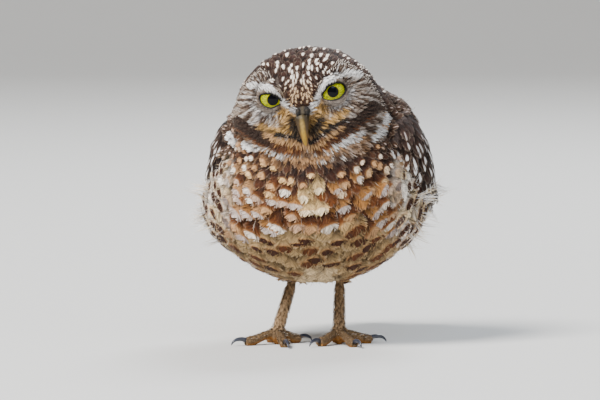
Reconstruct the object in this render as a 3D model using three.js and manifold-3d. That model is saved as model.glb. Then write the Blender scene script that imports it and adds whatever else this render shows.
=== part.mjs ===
// Burrowing owl, life size, standing with its head lowered and its plumage fluffed out.
// Millimetres, +Z up. The bird looks along -Y, and its left side is at +X.
// The origin is on the floor, under the middle of the bird's outline.
import * as THREE from 'three';
import { mergeVertices } from 'three/addons/utils/BufferGeometryUtils.js';
import Module from 'manifold-3d';

const wasm = await Module();
wasm.setup();

// Driving dimensions of the pose
const GAP = 0.3;
const MIDDLE = { x: 1.33, y: 25.9 };
const TURN = -7;
const FEET_BEHIND_AXIS = 3;

// Driving dimensions of the trunk and neck: fluffed lumps of plumage, tilted about X
const BREAST = { centre: [0, -10, 86], halfSizes: [50, 37, 40], tilt: -12 };
const BELLY = { centre: [0, -1, 74], halfSizes: [54, 41, 41.5] };
const MANTLE = { centre: [2.5, 16, 99], halfSizes: [53, 33, 38], tilt: -20 };
const RUMP = { centre: [0, 32, 80], halfSizes: [38, 31, 24], tilt: -32 };
const TAIL_COVERTS = { centre: [0, 48, 70], halfSizes: [27, 27, 13], tilt: -30 };
const NECK = { centre: [-1, -4, 112], halfSizes: [43, 36, 32] };

// Driving dimensions of the head, whose own axes turn, nod and roll about its centre
const HEAD = {
  centre: [-4, -18, 130],
  halfSizes: [35.5, 31, 28.5],
  squareness: 2.1,
  turn: -3.5,
  pitch: 22,
  roll: -7,
};
const CHEEKS = { centre: [0, -4, -6], halfSizes: [36, 25, 20], squareness: 2.2 };

// Each row of the brow is how far out, how far ahead, how far above the eye and how high
const BROW = [
  [5, 31, -4, 1.6],
  [11, 29, 5, 2.8],
  [19, 25, 10, 2.8],
  [27, 19, 10, 1.6],
];
const EYE = { apart: 30.4, height: 12.5, radius: 7.6, proud: 2.6, splay: 8 };
const BILL = { base: [0, -30, 8], tip: [0, -37, -8], width: 8.4, depth: 8 };

// Driving dimensions of the wings, the tail and the legs
const WING = {
  path: [[41, -20, 109], [50, -8, 105], [53, 12, 96], [43, 36, 86], [28, 60, 69], [12, 93, 50]],
  aside: 1.6,
  leftRaised: 4,
  halfChords: [5, 20, 27, 25, 16, 4.5],
  leans: [0.15, 0.2, 0.35, 0.7, 1.2, 2],
  thickness: 12,
  bend: 0.009,
};
const TAIL = { root: [0, 44, 72], tip: [0, 106, 37], width: 37, thickness: 7 };

// The right leg leans: its top is farther inwards than its foot by the right one of these
const LEG = {
  feet: { right: -20, left: 12.8 },
  leans: { right: 11, left: 0.5 },
  thickness: 5.8,
  top: 44,
  ankle: 9,
};
const TOE_THICKNESS = 5.2;
const CLAW_LENGTH = 9.5;

// Colours of the finish, one for each kind of surface
const COLOURS = {
  crown: '#6b5142',
  breast: '#8a6248',
  belly: '#d9c9ae',
  back: '#5f4839',
  leg: '#8d7455',
  toe: '#8f8672',
  claw: '#3b3f47',
  iris: '#d6d52c',
  bill: '#a9975c',
  cere: '#4d473c',
};

const rad = THREE.MathUtils.degToRad;

function vector(values) {
  return new THREE.Vector3(...values);
}

// Places of the bird's own axes, and of the head's axes, among the model's axes
const birdPlace = new THREE.Matrix4().makeRotationZ(rad(TURN));
const headPlace = new THREE.Matrix4()
  .makeTranslation(...HEAD.centre)
  .multiply(new THREE.Matrix4().makeRotationZ(rad(HEAD.turn)))
  .multiply(new THREE.Matrix4().makeRotationX(rad(HEAD.pitch)))
  .multiply(new THREE.Matrix4().makeRotationY(rad(HEAD.roll)));

// Solids: a welded mesh becomes a solid, and a solid becomes a mesh again
function solidFrom(geometry) {
  const bare = geometry.clone();
  bare.deleteAttribute('normal');
  bare.deleteAttribute('uv');
  const welded = mergeVertices(bare, 1e-3);
  return new wasm.Manifold(new wasm.Mesh({
    numProp: 3,
    vertProperties: new Float32Array(welded.attributes.position.array),
    triVerts: new Uint32Array(welded.index.array),
  }));
}

function geometryFrom(solid) {
  const mesh = solid.getMesh();
  const geometry = new THREE.BufferGeometry();
  geometry.setAttribute('position', new THREE.BufferAttribute(mesh.vertProperties, 3));
  geometry.setIndex(new THREE.BufferAttribute(mesh.triVerts, 1));
  geometry.computeVertexNormals();
  return geometry;
}

// The largest piece of a solid, so that a cut leaves no crumbs beside it
function largest(solid) {
  const pieces = solid.decompose();
  pieces.sort((a, b) => b.volume() - a.volume());
  return pieces[0];
}

// A lump of plumage: how far a point is outside a rounded, slightly squared ellipsoid
function lump(place, centre, halfSizes, tilt = 0, squareness = 2) {
  const inverse = place.clone()
    .multiply(new THREE.Matrix4().makeTranslation(...centre))
    .multiply(new THREE.Matrix4().makeRotationX(rad(tilt)))
    .invert();
  const smallest = Math.min(...halfSizes);
  return (point) => {
    const p = point.clone().applyMatrix4(inverse);
    const sum = Math.abs(p.x / halfSizes[0]) ** squareness
      + Math.abs(p.y / halfSizes[1]) ** squareness
      + Math.abs(p.z / halfSizes[2]) ** squareness;
    return (sum ** (1 / squareness) - 1) * smallest;
  };
}

// A local swelling of the plumage, or a hollow in it where its height is negative
function swelling(place, centre, height, spread) {
  const middle = vector(centre).applyMatrix4(place);
  return (point) => height * Math.exp(-middle.distanceToSquared(point) / spread ** 2);
}

// Distance outside the whole plumage: the lumps melt together over this softness
const SOFTNESS = 3;

function plumage(point) {
  let sum = 0;
  for (const outside of LUMPS) {
    sum += Math.exp(-outside(point) / SOFTNESS);
  }
  let distance = -SOFTNESS * Math.log(sum);
  for (const height of SWELLINGS) {
    distance -= height(point);
  }
  return distance;
}

// The trunk and neck lumps lie along the bird's own axes, and the head's along the head's
const LUMPS = [
  lump(birdPlace, BREAST.centre, BREAST.halfSizes, BREAST.tilt),
  lump(birdPlace, BELLY.centre, BELLY.halfSizes),
  lump(birdPlace, MANTLE.centre, MANTLE.halfSizes, MANTLE.tilt),
  lump(birdPlace, RUMP.centre, RUMP.halfSizes, RUMP.tilt),
  lump(birdPlace, TAIL_COVERTS.centre, TAIL_COVERTS.halfSizes, TAIL_COVERTS.tilt),
  lump(birdPlace, NECK.centre, NECK.halfSizes),
  lump(headPlace, [0, 0, 0], HEAD.halfSizes, 0, HEAD.squareness),
  lump(headPlace, CHEEKS.centre, CHEEKS.halfSizes, 0, CHEEKS.squareness),
];

// The face is flat between the eyes, with a brow over each eye, a hollow round it, a
// moustache beside the bill and a rim of the face's disc behind it
const SWELLINGS = [
  swelling(headPlace, [0, -31, EYE.height - 4], -2.4, 15),
];
for (const side of [-1, 1]) {
  const flankFluff = side > 0 ? 5.5 : 8;
  const shoulderFluff = side > 0 ? 8 : 1;
  SWELLINGS.push(swelling(birdPlace, [side * 52, 2, 71], flankFluff, 18));
  SWELLINGS.push(swelling(birdPlace, [side * 44, 6, 123], shoulderFluff, 15));
  for (const [out, ahead, above, height] of BROW) {
    SWELLINGS.push(swelling(headPlace, [side * out, -ahead, EYE.height + above], height, 5.5));
  }
  SWELLINGS.push(swelling(headPlace, [side * EYE.apart / 2, -29, EYE.height - 2], -2.8, 8));
  SWELLINGS.push(swelling(headPlace, [side * 9, -31, -6], 2.4, 7));
  SWELLINGS.push(swelling(headPlace, [side * 29, -16, 2], 1.6, 9));
}

// How far the plumage reaches from a point inside it
function reach(from, direction) {
  const step = 4;
  let far = step;
  while (plumage(from.clone().addScaledVector(direction, far)) < 0) {
    far += step;
  }
  let near = far - step;
  for (let round = 0; round < 14; round += 1) {
    const middle = (near + far) / 2;
    if (plumage(from.clone().addScaledVector(direction, middle)) < 0) {
      near = middle;
    } else {
      far = middle;
    }
  }
  return (near + far) / 2;
}

// The whole plumage as one closed skin, with its finest facets about the given axis
function plumageAround(centre, place, around, down) {
  const sphere = new THREE.SphereGeometry(1, around, down);
  sphere.applyMatrix4(new THREE.Matrix4().extractRotation(place));
  const points = sphere.attributes.position;
  const middle = vector(centre);
  for (let index = 0; index < points.count; index += 1) {
    const direction = new THREE.Vector3().fromBufferAttribute(points, index).normalize();
    const point = middle.clone().addScaledVector(direction, reach(middle, direction));
    points.setXYZ(index, point.x, point.y, point.z);
  }
  return solidFrom(sphere);
}

// A smooth function through values that are evenly spaced from 0 to 1
function graded(values) {
  const curve = new THREE.CatmullRomCurve3(values.map((value) => new THREE.Vector3(value, 0, 0)));
  return (t) => curve.getPoint(t).x;
}

// A closed tube along a path. Its section is an oval, bent by the given curvature, and its
// upright stays as close as it can to the direction that up gives.
function taperedTube({ path, halfAcross, halfUpright, up, sides, steps, bend = 0 }) {
  const tube = new THREE.CylinderGeometry(1, 1, 1, sides, steps);
  const points = tube.attributes.position;
  for (let index = 0; index < points.count; index += 1) {
    const ring = new THREE.Vector3().fromBufferAttribute(points, index);
    const t = THREE.MathUtils.clamp(ring.y + 0.5, 0, 1);
    const along = path.getTangent(t);
    const side = new THREE.Vector3().crossVectors(along, up(t)).normalize();
    const upright = new THREE.Vector3().crossVectors(side, along);
    const height = ring.z * halfUpright(t);
    const point = path.getPoint(t);
    point.addScaledVector(side, ring.x * halfAcross(t) - bend * height * height);
    point.addScaledVector(upright, height);
    points.setXYZ(index, point.x, point.y, point.z);
  }
  return solidFrom(tube);
}

function curveThrough(place, points) {
  return new THREE.CatmullRomCurve3(points.map((point) => vector(point).applyMatrix4(place)));
}

// A slab across the whole bird, used to cut it. It covers the side that its normal points to.
function halfSpace(point, normal) {
  const size = 400;
  const box = new THREE.BoxGeometry(size, size, size);
  box.translate(0, 0, size / 2);
  const turn = new THREE.Quaternion().setFromUnitVectors(
    new THREE.Vector3(0, 0, 1),
    vector(normal).normalize(),
  );
  box.applyQuaternion(turn);
  box.translate(...point);
  return solidFrom(box);
}

// Both sides of a thin cut through a solid
function parted(solid, point, normal) {
  const direction = vector(normal).normalize();
  const start = vector(point).addScaledVector(direction, GAP / 2);
  const end = vector(point).addScaledVector(direction, -GAP / 2);
  const front = largest(solid.intersect(halfSpace(start.toArray(), direction.toArray())));
  const behind = largest(solid.intersect(halfSpace(end.toArray(), direction.negate().toArray())));
  return [front, behind];
}

function ball(place, centre, halfSizes, around, down) {
  const sphere = new THREE.SphereGeometry(1, around, down);
  sphere.scale(...halfSizes);
  sphere.translate(...centre);
  sphere.applyMatrix4(place);
  return solidFrom(sphere);
}

// Eyes: balls that look out of the face, a little apart
function eyeBall(side, extra) {
  const outward = new THREE.Vector3(side * Math.sin(rad(EYE.splay)), -Math.cos(rad(EYE.splay)), 0);
  outward.transformDirection(headPlace);
  const start = vector([side * EYE.apart / 2, -12, EYE.height]).applyMatrix4(headPlace);
  const depth = reach(start, outward) + EYE.proud - EYE.radius;
  const centre = start.addScaledVector(outward, depth);
  const sphere = new THREE.SphereGeometry(EYE.radius + extra, 12, 9);
  sphere.applyMatrix4(new THREE.Matrix4().extractRotation(headPlace));
  sphere.translate(...centre.toArray());
  return solidFrom(sphere);
}

// Bill: a hooked upper half, a short lower half under it and the swollen cere at its root
function upperBill(extra) {
  const [x, baseY, baseZ] = BILL.base;
  const [, tipY, tipZ] = BILL.tip;
  const width = graded([0.5, 0.5, 0.43, 0.27, 0.06]);
  const depth = graded([0.55, 0.5, 0.38, 0.22, 0.07]);
  return taperedTube({
    path: curveThrough(headPlace, [
      [x, baseY + 8, baseZ - 1],
      [x, baseY - 3, baseZ - 1],
      [x, tipY + 0.5, (baseZ + tipZ) / 2],
      [x, tipY, tipZ],
    ]),
    halfAcross: (t) => width(t) * BILL.width + extra,
    halfUpright: (t) => depth(t) * BILL.depth + extra,
    up: () => new THREE.Vector3(0, -1, 0.4).transformDirection(headPlace),
    sides: 8,
    steps: 7,
  });
}

function lowerBill(extra) {
  const [x, baseY] = BILL.base;
  const [, tipY, tipZ] = BILL.tip;
  const width = graded([0.42, 0.34, 0.1]);
  return taperedTube({
    path: curveThrough(headPlace, [
      [x, baseY + 8, -4],
      [x, baseY - 1, -5],
      [x, tipY + 2.6, tipZ + 4.8],
    ]),
    halfAcross: (t) => width(t) * BILL.width + extra,
    halfUpright: (t) => width(t) * BILL.depth * 0.5 + extra,
    up: () => new THREE.Vector3(0, 0, 1).transformDirection(headPlace),
    sides: 8,
    steps: 3,
  });
}

function cere(extra) {
  const [x, baseY, baseZ] = BILL.base;
  const halfSizes = [BILL.width * 0.55 + extra, 4.2 + extra, 3.6 + extra];
  return ball(headPlace, [x, baseY - 0.6, baseZ + 0.6], halfSizes, 10, 6);
}

// Folded wing: a bowed plate on the bird's side, from the bend of the wing to its tip. It
// leans in over the back more and more towards the tip.
function wing(side, extra) {
  const thickness = graded([0.25, 0.48, 0.55, 0.5, 0.32, 0.1]);
  const chord = graded(WING.halfChords);
  const lean = graded(WING.leans);
  const raised = side > 0 ? WING.leftRaised : 0;
  return taperedTube({
    path: curveThrough(birdPlace, WING.path.map(([out, back, high]) => {
      return [side * out + WING.aside, back, high + raised];
    })),
    halfAcross: (t) => thickness(t) * WING.thickness + extra,
    halfUpright: (t) => chord(t) + extra,
    up: (t) => new THREE.Vector3(-side * lean(t), 0, 1).transformDirection(birdPlace),
    sides: 12,
    steps: 9,
    bend: side * WING.bend,
  });
}

function tail(extra) {
  const width = graded([0.36, 0.42, 0.46, 0.5, 0.36]);
  const thickness = graded([0.5, 0.42, 0.3, 0.22, 0.16]);
  return taperedTube({
    path: curveThrough(birdPlace, [TAIL.root, TAIL.tip]),
    halfAcross: (t) => width(t) * TAIL.width + extra,
    halfUpright: (t) => thickness(t) * TAIL.thickness + extra,
    up: () => new THREE.Vector3(0, 0, 1),
    sides: 12,
    steps: 4,
  });
}

// Legs: a feathered thigh in the belly, a long bare-looking tarsus and a foot pad
function sideName(side) {
  return side > 0 ? 'left' : 'right';
}

function footPlace(side) {
  return new THREE.Matrix4().makeTranslation(LEG.feet[sideName(side)], FEET_BEHIND_AXIS, 0);
}

function thigh(side, extra) {
  const halfSizes = [11 + extra, 15 + extra, 14 + extra];
  const inwards = LEG.leans[sideName(side)] * 0.8;
  return ball(footPlace(side), [side + inwards, 5, LEG.top + 2], halfSizes, 10, 7);
}

function tarsus(side, extra) {
  const girth = graded([0.52, 0.46, 0.5, 0.58]);
  const inwards = LEG.leans[sideName(side)];
  return taperedTube({
    path: curveThrough(footPlace(side), [
      [inwards, 3, LEG.top],
      [inwards * 0.6, 1.5, LEG.top * 0.66],
      [0, 0, LEG.ankle - 2],
    ]),
    halfAcross: (t) => girth(t) * LEG.thickness + extra,
    halfUpright: (t) => girth(t) * LEG.thickness + extra,
    up: () => new THREE.Vector3(0, -1, 0),
    sides: 8,
    steps: 5,
  });
}

function footPad(side, extra) {
  return ball(footPlace(side), [0, 0, 4.7], [4.8 + extra, 5 + extra, 5 + extra], 8, 6);
}

// Toes: each one runs out from the foot pad at its own angle, measured from straight ahead
// towards the bird's left, and ends in a curved claw
const TOES = {
  right: [
    { name: 'outer', angle: -62, length: 19 },
    { name: 'middle', angle: 12, length: 20 },
    { name: 'inner', angle: 125, length: 14 },
    { name: 'hind', angle: -160, length: 12 },
  ],
  left: [
    { name: 'inner', angle: -38, length: 17 },
    { name: 'middle', angle: 24, length: 20 },
    { name: 'outer', angle: 108, length: 18 },
    { name: 'hind', angle: -172, length: 12 },
  ],
};

function toePlace(side, angle) {
  return footPlace(side).multiply(new THREE.Matrix4().makeRotationZ(rad(angle)));
}

function toe(side, { angle, length }) {
  const girth = graded([0.42, 0.46, 0.46, 0.54, 0.47]);
  return taperedTube({
    path: curveThrough(toePlace(side, angle), [
      [0, 0, 6],
      [0, -0.4 * length, 4.8],
      [0, -0.75 * length, 2.5],
      [0, -length, 2],
    ]),
    halfAcross: (t) => girth(t) * TOE_THICKNESS,
    halfUpright: (t) => girth(t) * TOE_THICKNESS,
    up: () => new THREE.Vector3(0, 0, 1),
    sides: 8,
    steps: 5,
  });
}

function claw(side, { angle, length }, extra) {
  const girth = graded([1.5, 1.3, 0.8, 0.25]);
  return taperedTube({
    path: curveThrough(toePlace(side, angle), [
      [0, -length + 1.2, 2.8],
      [0, -length - 0.4 * CLAW_LENGTH, 3.9],
      [0, -length - 0.78 * CLAW_LENGTH, 2.6],
      [0, -length - 0.9 * CLAW_LENGTH, 0.6],
    ]),
    halfAcross: (t) => girth(t) * 0.85 + extra,
    halfUpright: (t) => girth(t) + extra,
    up: () => new THREE.Vector3(0, 0, 1),
    sides: 6,
    steps: 4,
  });
}

const owl = new THREE.Group();
owl.position.set(-MIDDLE.x, -MIDDLE.y, 0);

function add(name, solid, colour, roughness) {
  const material = new THREE.MeshStandardMaterial({ color: COLOURS[colour], roughness, metalness: 0 });
  const mesh = new THREE.Mesh(geometryFrom(solid), material);
  mesh.name = name;
  owl.add(mesh);
}

// Head: above a cut that runs under the chin and over the nape
const CHIN_CUT = { point: [0, -47, 101], normal: [0, -0.7, 1] };
const NECK_CUT = { point: [0, -46, 89], normal: [0, -0.74, 1] };
const fromHead = plumageAround(HEAD.centre, headPlace, 36, 23);
const fromTrunk = plumageAround([0, 6, 84], new THREE.Matrix4().makeRotationX(rad(90)), 30, 19);
let [head] = parted(fromHead, CHIN_CUT.point, CHIN_CUT.normal);
const [, underHead] = parted(fromTrunk, CHIN_CUT.point, CHIN_CUT.normal);
let [neck, trunk] = parted(underHead, NECK_CUT.point, NECK_CUT.normal);

for (const side of [-1, 1]) {
  head = head.subtract(eyeBall(side, GAP)).subtract(wing(side, GAP));
  trunk = trunk.subtract(wing(side, GAP)).subtract(thigh(side, GAP));
  neck = neck.subtract(wing(side, GAP));
}
trunk = trunk.subtract(tail(GAP)).subtract(tarsus(-1, GAP)).subtract(tarsus(1, GAP));
head = head.subtract(upperBill(GAP)).subtract(lowerBill(GAP)).subtract(cere(GAP));

// Trunk: breast and belly in front, back and rump behind
const [trunkBehind, trunkFront] = parted(trunk, [0, 14, 0], [0, 1, 0]);
const [breast, belly] = parted(trunkFront, [0, 0, 68], [0, 0, 1]);
const [back, rump] = parted(trunkBehind, [0, 30, 78], [0, 0.35, 1]);

add('head', largest(head), 'crown', 0.9);
add('neck', largest(neck), 'breast', 0.9);
add('breast', breast, 'breast', 0.9);
add('belly', belly, 'belly', 0.9);
add('back', back, 'back', 0.9);
add('rump', rump, 'back', 0.9);

add('bill_upper', upperBill(0).subtract(cere(GAP)), 'bill', 0.35);
add('bill_lower', largest(lowerBill(0).subtract(upperBill(GAP)).subtract(cere(GAP))), 'bill', 0.4);
add('cere', cere(0), 'cere', 0.5);

// Wings: each is parted where the flight feathers run out beyond the coverts
const FLIGHT_CUT = { point: [0, 44, 76], normal: [0, 0.86, -0.5] };
const tailSpace = tail(GAP);
for (const [name, side] of [['right', -1], ['left', 1]]) {
  const [flight, coverts] = parted(wing(side, 0), FLIGHT_CUT.point, FLIGHT_CUT.normal);
  add(`eye_${name}`, eyeBall(side, 0), 'iris', 0.1);
  add(`wing_${name}`, coverts, 'back', 0.9);
  add(`flight_feathers_${name}`, largest(flight.subtract(tailSpace)), 'back', 0.85);
}
add('tail', tail(0), 'back', 0.85);

// Legs and feet: everything under the floor's level is cut off, which leaves small flats
const aboveFloor = halfSpace([0, 0, 0], [0, 0, 1]);
for (const [name, side] of [['right', -1], ['left', 1]]) {
  const pad = footPad(side, 0).intersect(aboveFloor);
  add(`thigh_${name}`, largest(thigh(side, 0).subtract(tarsus(side, GAP))), 'belly', 0.9);
  add(`tarsus_${name}`, tarsus(side, 0).subtract(footPad(side, GAP)), 'leg', 0.85);
  add(`foot_${name}`, pad, 'toe', 0.8);
  for (const each of TOES[name]) {
    const bare = toe(side, each).intersect(aboveFloor);
    const bareOfFoot = bare.subtract(footPad(side, GAP)).subtract(tarsus(side, GAP));
    const toeSolid = bareOfFoot.subtract(claw(side, each, GAP));
    add(`toe_${name}_${each.name}`, largest(toeSolid), 'toe', 0.8);
    add(`claw_${name}_${each.name}`, claw(side, each, 0).intersect(aboveFloor), 'claw', 0.3);
  }
}

export default owl;
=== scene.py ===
"""A burrowing owl, life size: one skin, solid feathers, eyes, bill and claws, on a pale floor."""

import math

import bmesh
import bpy
import numpy as np
from mathutils import Matrix, Vector, kdtree
from mathutils.bvhtree import BVHTree


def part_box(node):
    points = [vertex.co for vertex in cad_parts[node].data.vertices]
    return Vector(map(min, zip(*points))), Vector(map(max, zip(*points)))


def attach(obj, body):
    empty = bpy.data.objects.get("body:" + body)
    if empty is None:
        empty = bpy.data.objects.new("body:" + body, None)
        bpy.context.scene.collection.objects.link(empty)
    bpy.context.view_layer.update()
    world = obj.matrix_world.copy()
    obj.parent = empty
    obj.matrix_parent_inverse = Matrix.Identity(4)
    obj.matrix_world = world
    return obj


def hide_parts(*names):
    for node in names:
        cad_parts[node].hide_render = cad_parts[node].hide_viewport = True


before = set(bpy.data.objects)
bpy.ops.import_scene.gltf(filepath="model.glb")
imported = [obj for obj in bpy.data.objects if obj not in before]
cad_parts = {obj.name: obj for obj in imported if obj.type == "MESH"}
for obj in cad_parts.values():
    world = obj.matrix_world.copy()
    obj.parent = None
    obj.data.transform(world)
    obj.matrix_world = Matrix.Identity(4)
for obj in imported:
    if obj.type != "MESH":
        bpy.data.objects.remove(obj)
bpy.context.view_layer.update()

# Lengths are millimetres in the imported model's own drawing, in which MIDDLE is the world's origin
MM = 0.001
MIDDLE = np.array((1.33, 25.9, 0.0))
ACROSS = np.array((1, 0, 0))
# The turn of the trunk in degrees, and the head's place and turns
TRUNK_TURN = -7
HEAD = {"centre": (-4, -18, 130), "turn": -3.5, "pitch": 22, "roll": -7}
# Places in the head's own frame, and in the trunk's the place that feathers of the body point to
BILL_ROOT = (0, -32, 7)
CERE_SADDLE = (0.7, -33, 9.6)
TAIL_HEAD = (0, 62, 60)
# The camera's aim, its distance and the width it sees there, in metres of the world, and its rise in degrees
AIM = (-0.00928, -0.0259, 0.0770)
CAMERA_DISTANCE = 3.0
VIEW_WIDTH = 0.318
CAMERA_RISE = 4
# The same distance, and the height about which the front view is laid out, in millimetres
CAMERA_AWAY = CAMERA_DISTANCE / MM
VIEW_HEIGHT = 85
COS_RISE = math.cos(math.radians(CAMERA_RISE))
SIN_RISE = math.sin(math.radians(CAMERA_RISE))

BODY_NODES = (
    "head", "neck", "breast", "belly", "back", "rump",
    "wing_left", "wing_right", "thigh_left", "thigh_right",
)
LEG_NODES = tuple(n for n in sorted(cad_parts) if n.split("_")[0] in ("tarsus", "foot", "toe"))
FLESH_NODES = BODY_NODES + LEG_NODES
REGION = {name: number for number, name in enumerate(FLESH_NODES)}


# The studio's tone curve lifts the darks, so surface colours are deepened by this power
DEEPEN = 1.4


def tone(red, green, blue):
    """A surface colour from the three parts of a screen colour, 0 to 255."""
    parts = np.array((red, green, blue)) / 255
    linear = np.where(parts <= 0.04045, parts / 12.92, ((parts + 0.055) / 1.055) ** 2.4)
    return linear**DEEPEN


CROWN_BROWN = tone(86, 58, 46)
BACK_BROWN = tone(96, 73, 58)
WING_BROWN = tone(86, 62, 50)
WING_DUSK = tone(108, 90, 84)
BREAST_BROWN = tone(98, 66, 50)
RUST = tone(134, 88, 48)
PEACH = tone(202, 166, 128)
LAVENDER = tone(204, 190, 184)
DARK_RUST = tone(84, 50, 26)
COLLAR_BROWN = tone(70, 43, 32)
# Painted shade for the hollows beside the bill
HOLLOW_SHADOW = tone(30, 18, 11)
WARM_BROWN = tone(186, 150, 114)
FOREHEAD = tone(98, 66, 46)
TAN = tone(206, 172, 132)
CHEEK_GREY = tone(170, 156, 144)
CHEEK_BROWN = tone(98, 76, 62)
WHITE = tone(240, 238, 236)
SPOT_WHITE = tone(244, 236, 226)
BUFF = tone(222, 190, 144)
ORANGE_BUFF = tone(192, 148, 96)
CREAM = tone(236, 218, 186)
STRAW = tone(232, 206, 158)
BELLY_CREAM = tone(190, 166, 128)
OLIVE_GOLD = tone(212, 174, 104)
SHADE = tone(50, 36, 30)
# Painted shade for the slit of the mouth
GAPE_SHADOW = tone(26, 18, 14)
LEG_BUFF = tone(186, 160, 128)
TOE_GREY = tone(164, 140, 110)
PAD_ORANGE = tone(208, 152, 62)
CERE_GREY = tone(52, 49, 48)


def rotation(axis, degrees):
    """A turn about one axis, as an array."""
    return np.array(Matrix.Rotation(math.radians(degrees), 3, axis))


TRUNK = rotation("Z", TRUNK_TURN)
HEAD_TURN = rotation("Z", HEAD["turn"]) @ rotation("X", HEAD["pitch"]) @ rotation("Y", HEAD["roll"])


def from_trunk(points):
    """The drawing's places of points given in the trunk's own frame."""
    return np.asarray(points, float) @ TRUNK.T


def to_trunk(points):
    """Points in the trunk's own frame, which is turned about the upright."""
    return points @ TRUNK


def from_head(points):
    """The drawing's places of points given in the head's own frame."""
    return np.asarray(points, float) @ HEAD_TURN.T + HEAD["centre"]


def to_head(points):
    """Points in the head's own frame, from its middle."""
    return (points - HEAD["centre"]) @ HEAD_TURN


def drawing(world):
    """Millimetres in the drawing from metres in the world."""
    return np.asarray(world, float) / MM + MIDDLE


def unit(vectors):
    """Vectors brought to a length of one."""
    return vectors / np.maximum(np.linalg.norm(vectors, axis=-1, keepdims=True), 1e-9)


def filled(row, count):
    """The same row of values for each of so many points."""
    return np.tile(row, (count, 1))


def fade(values, none, full):
    """0 at none and 1 at full with a soft start and end."""
    x = np.clip((values - none) / (full - none), 0, 1)
    return x * x * (3 - 2 * x)


def front_view(points):
    """Across and up as the camera sees them, in millimetres at its aim's distance."""
    scale = CAMERA_AWAY / (CAMERA_AWAY + points[:, 1])
    up = (points[:, 2] - VIEW_HEIGHT) * COS_RISE + points[:, 1] * SIN_RISE
    return np.column_stack((points[:, 0] * scale, up * scale + VIEW_HEIGHT * COS_RISE))


def waves(points, size, seed):
    """A smooth random field from -1 to 1 with features of about that size."""
    rng = np.random.default_rng(seed)
    total = np.zeros(len(points))
    for direction in unit(rng.normal(size=(7, 3))):
        total += np.sin(points @ direction * (2 * math.pi / size) + rng.uniform(0, 6.3))
    return np.clip(total / 2.6, -1, 1)


def centre_of(node):
    """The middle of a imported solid's box, in the drawing."""
    low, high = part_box(node)
    return drawing((low + high) / 2)


EYES = {side: centre_of("eye_" + side) for side in ("right", "left")}
BILL = from_head(BILL_ROOT)
TAIL_POINT = from_trunk(TAIL_HEAD)
WING_RAISED = {"right": 0, "left": 4}
WING_TIP = {
    "right": from_trunk((-10.4, 93, 50 + WING_RAISED["right"])),
    "left": from_trunk((13.6, 93, 50 + WING_RAISED["left"])),
}


# How far across the front view the middles of the chest and of the rings under the face lie
CHEST_MIDDLE = -4
RING_MIDDLE = -5
# The fold of each wing lies evenly about this far to the bird's left of its middle
WING_ASIDE = 1.6

# Bands of colour, as paths across the front view in millimetres: across, up
BROWS = (
    [(-9.8, 123.6), (-13.2, 125.6), (-17.8, 129), (-22.5, 134), (-27, 137), (-34, 137)],
    [(-2.2, 123.8), (0.4, 129), (3, 134.2), (7, 140), (11.9, 142.6), (17.2, 143.8), (23, 142.6)],
)
COLLAR = (
    [(-40.5, 118.3), (-34.5, 113.2), (-27.8, 109.2), (-21.2, 105.7), (-15.9, 104.2), (-8.5, 103.2)],
    [(31, 126), (26, 121.5), (20, 116.8), (14, 112.2), (7, 107.6), (0.5, 104.6)],
)
WHITE_BAND = (
    [(-44, 109.5), (-41.5, 106.3), (-31.4, 103.6), (-24.9, 100.9), (-18.5, 99.3)],
    [(7, 102.6), (11, 104.2), (17, 107.2), (24, 110.8)],
    [(31.5, 109.5), (35, 113), (37.5, 117.5), (38, 121)],
)
BUFF_BAND = ([(-24, 97.5), (-11.9, 96.8), (-2.1, 97), (8, 99)],)
# The mouth's slit, which is painted dark as the shade in it
MOUTH = (
    [(-21.2, 110.7), (-15.9, 110.8), (-10.6, 110), (-7.4, 108.3)],
    [(-2.6, 106.7), (1.3, 109.3), (6.6, 113.4), (13.3, 117.3), (17.2, 119.3)],
)
CHIN_RIM = (
    [(-27, 111.2), (-20, 107.6), (-14, 106.6), (-7.5, 104.2), (-2.6, 103.2)],
    [(-2.6, 103.2), (3, 105.8), (9, 110.8), (15, 115)],
)
MOUSTACHE = (
    [(-29.8, 115.3), (-23.9, 113.4), (-15.9, 113.4), (-9.5, 111.3)],
    [(-1.1, 110.8), (3.7, 115), (9.5, 118.2), (17, 123)],
)
UNDER_EYES = (
    [(-32.3, 125.1), (-27, 123), (-20.7, 123.5)],
    [(5.8, 127.7), (11.1, 126.7), (17, 129.9), (19.6, 134)],
)
BILL_SHADOWS = ([(-13, 118), (-12, 114.5), (-9, 110.8)], [(4, 118.5), (1.5, 115), (-1, 111.5)])


# Marks on the vanes: how far along they lie, their half length and half width, and their strength
BREAST_SPOT = (0.83, 0.17, 0.74, 1.0)
BREAST_SCALLOP = (0.85, 0.15, 1.05, 1.0)
BIB_SCALLOP = (0.84, 0.2, 1.0, 1.0)
BELLY_BAR = (0.82, 0.14, 0.9, 1.0)
FLANK_BAR = (0.76, 0.13, 0.9, 1.0)
BACK_SPOT = (0.84, 0.12, 0.42, 0.95)
SHOULDER_FLECK = (0.82, 0.15, 0.16, 0.7)
WING_FLECK = (0.8, 0.14, 0.15, 0.75)
WING_DROP = (0.76, 0.27, 0.33, 1.0)
BROW_DROP = (0.78, 0.24, 0.42, 1.0)
CROWN_DROP = (0.8, 0.19, 0.33, 1.0)
NO_MARK = (0.5, 0.1, 0.1, 0.0)


def band(places, paths, half, soft):
    """How far places of the front view lie inside bands of that half width, 0 to 1."""
    nearest = np.full(len(places), 1e9)
    for path in paths:
        corners = np.array(path, float)
        for start, end in zip(corners[:-1], corners[1:]):
            run = end - start
            part = np.clip((places - start) @ run / (run @ run), 0, 1)
            away = np.linalg.norm(places - start - part[:, None] * run, axis=1)
            nearest = np.minimum(nearest, away)
    return fade(nearest, half + soft, half - soft)


def blend(under, over, amount):
    """Rows of values mixed by an amount for each row."""
    return under + (over - under) * np.asarray(amount)[:, None]


def settled(amount, dice):
    """Softly mixed for the skin, but all or nothing for a feather, by its own throw of the dice."""
    return amount if dice is None else (amount > dice).astype(float)


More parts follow.
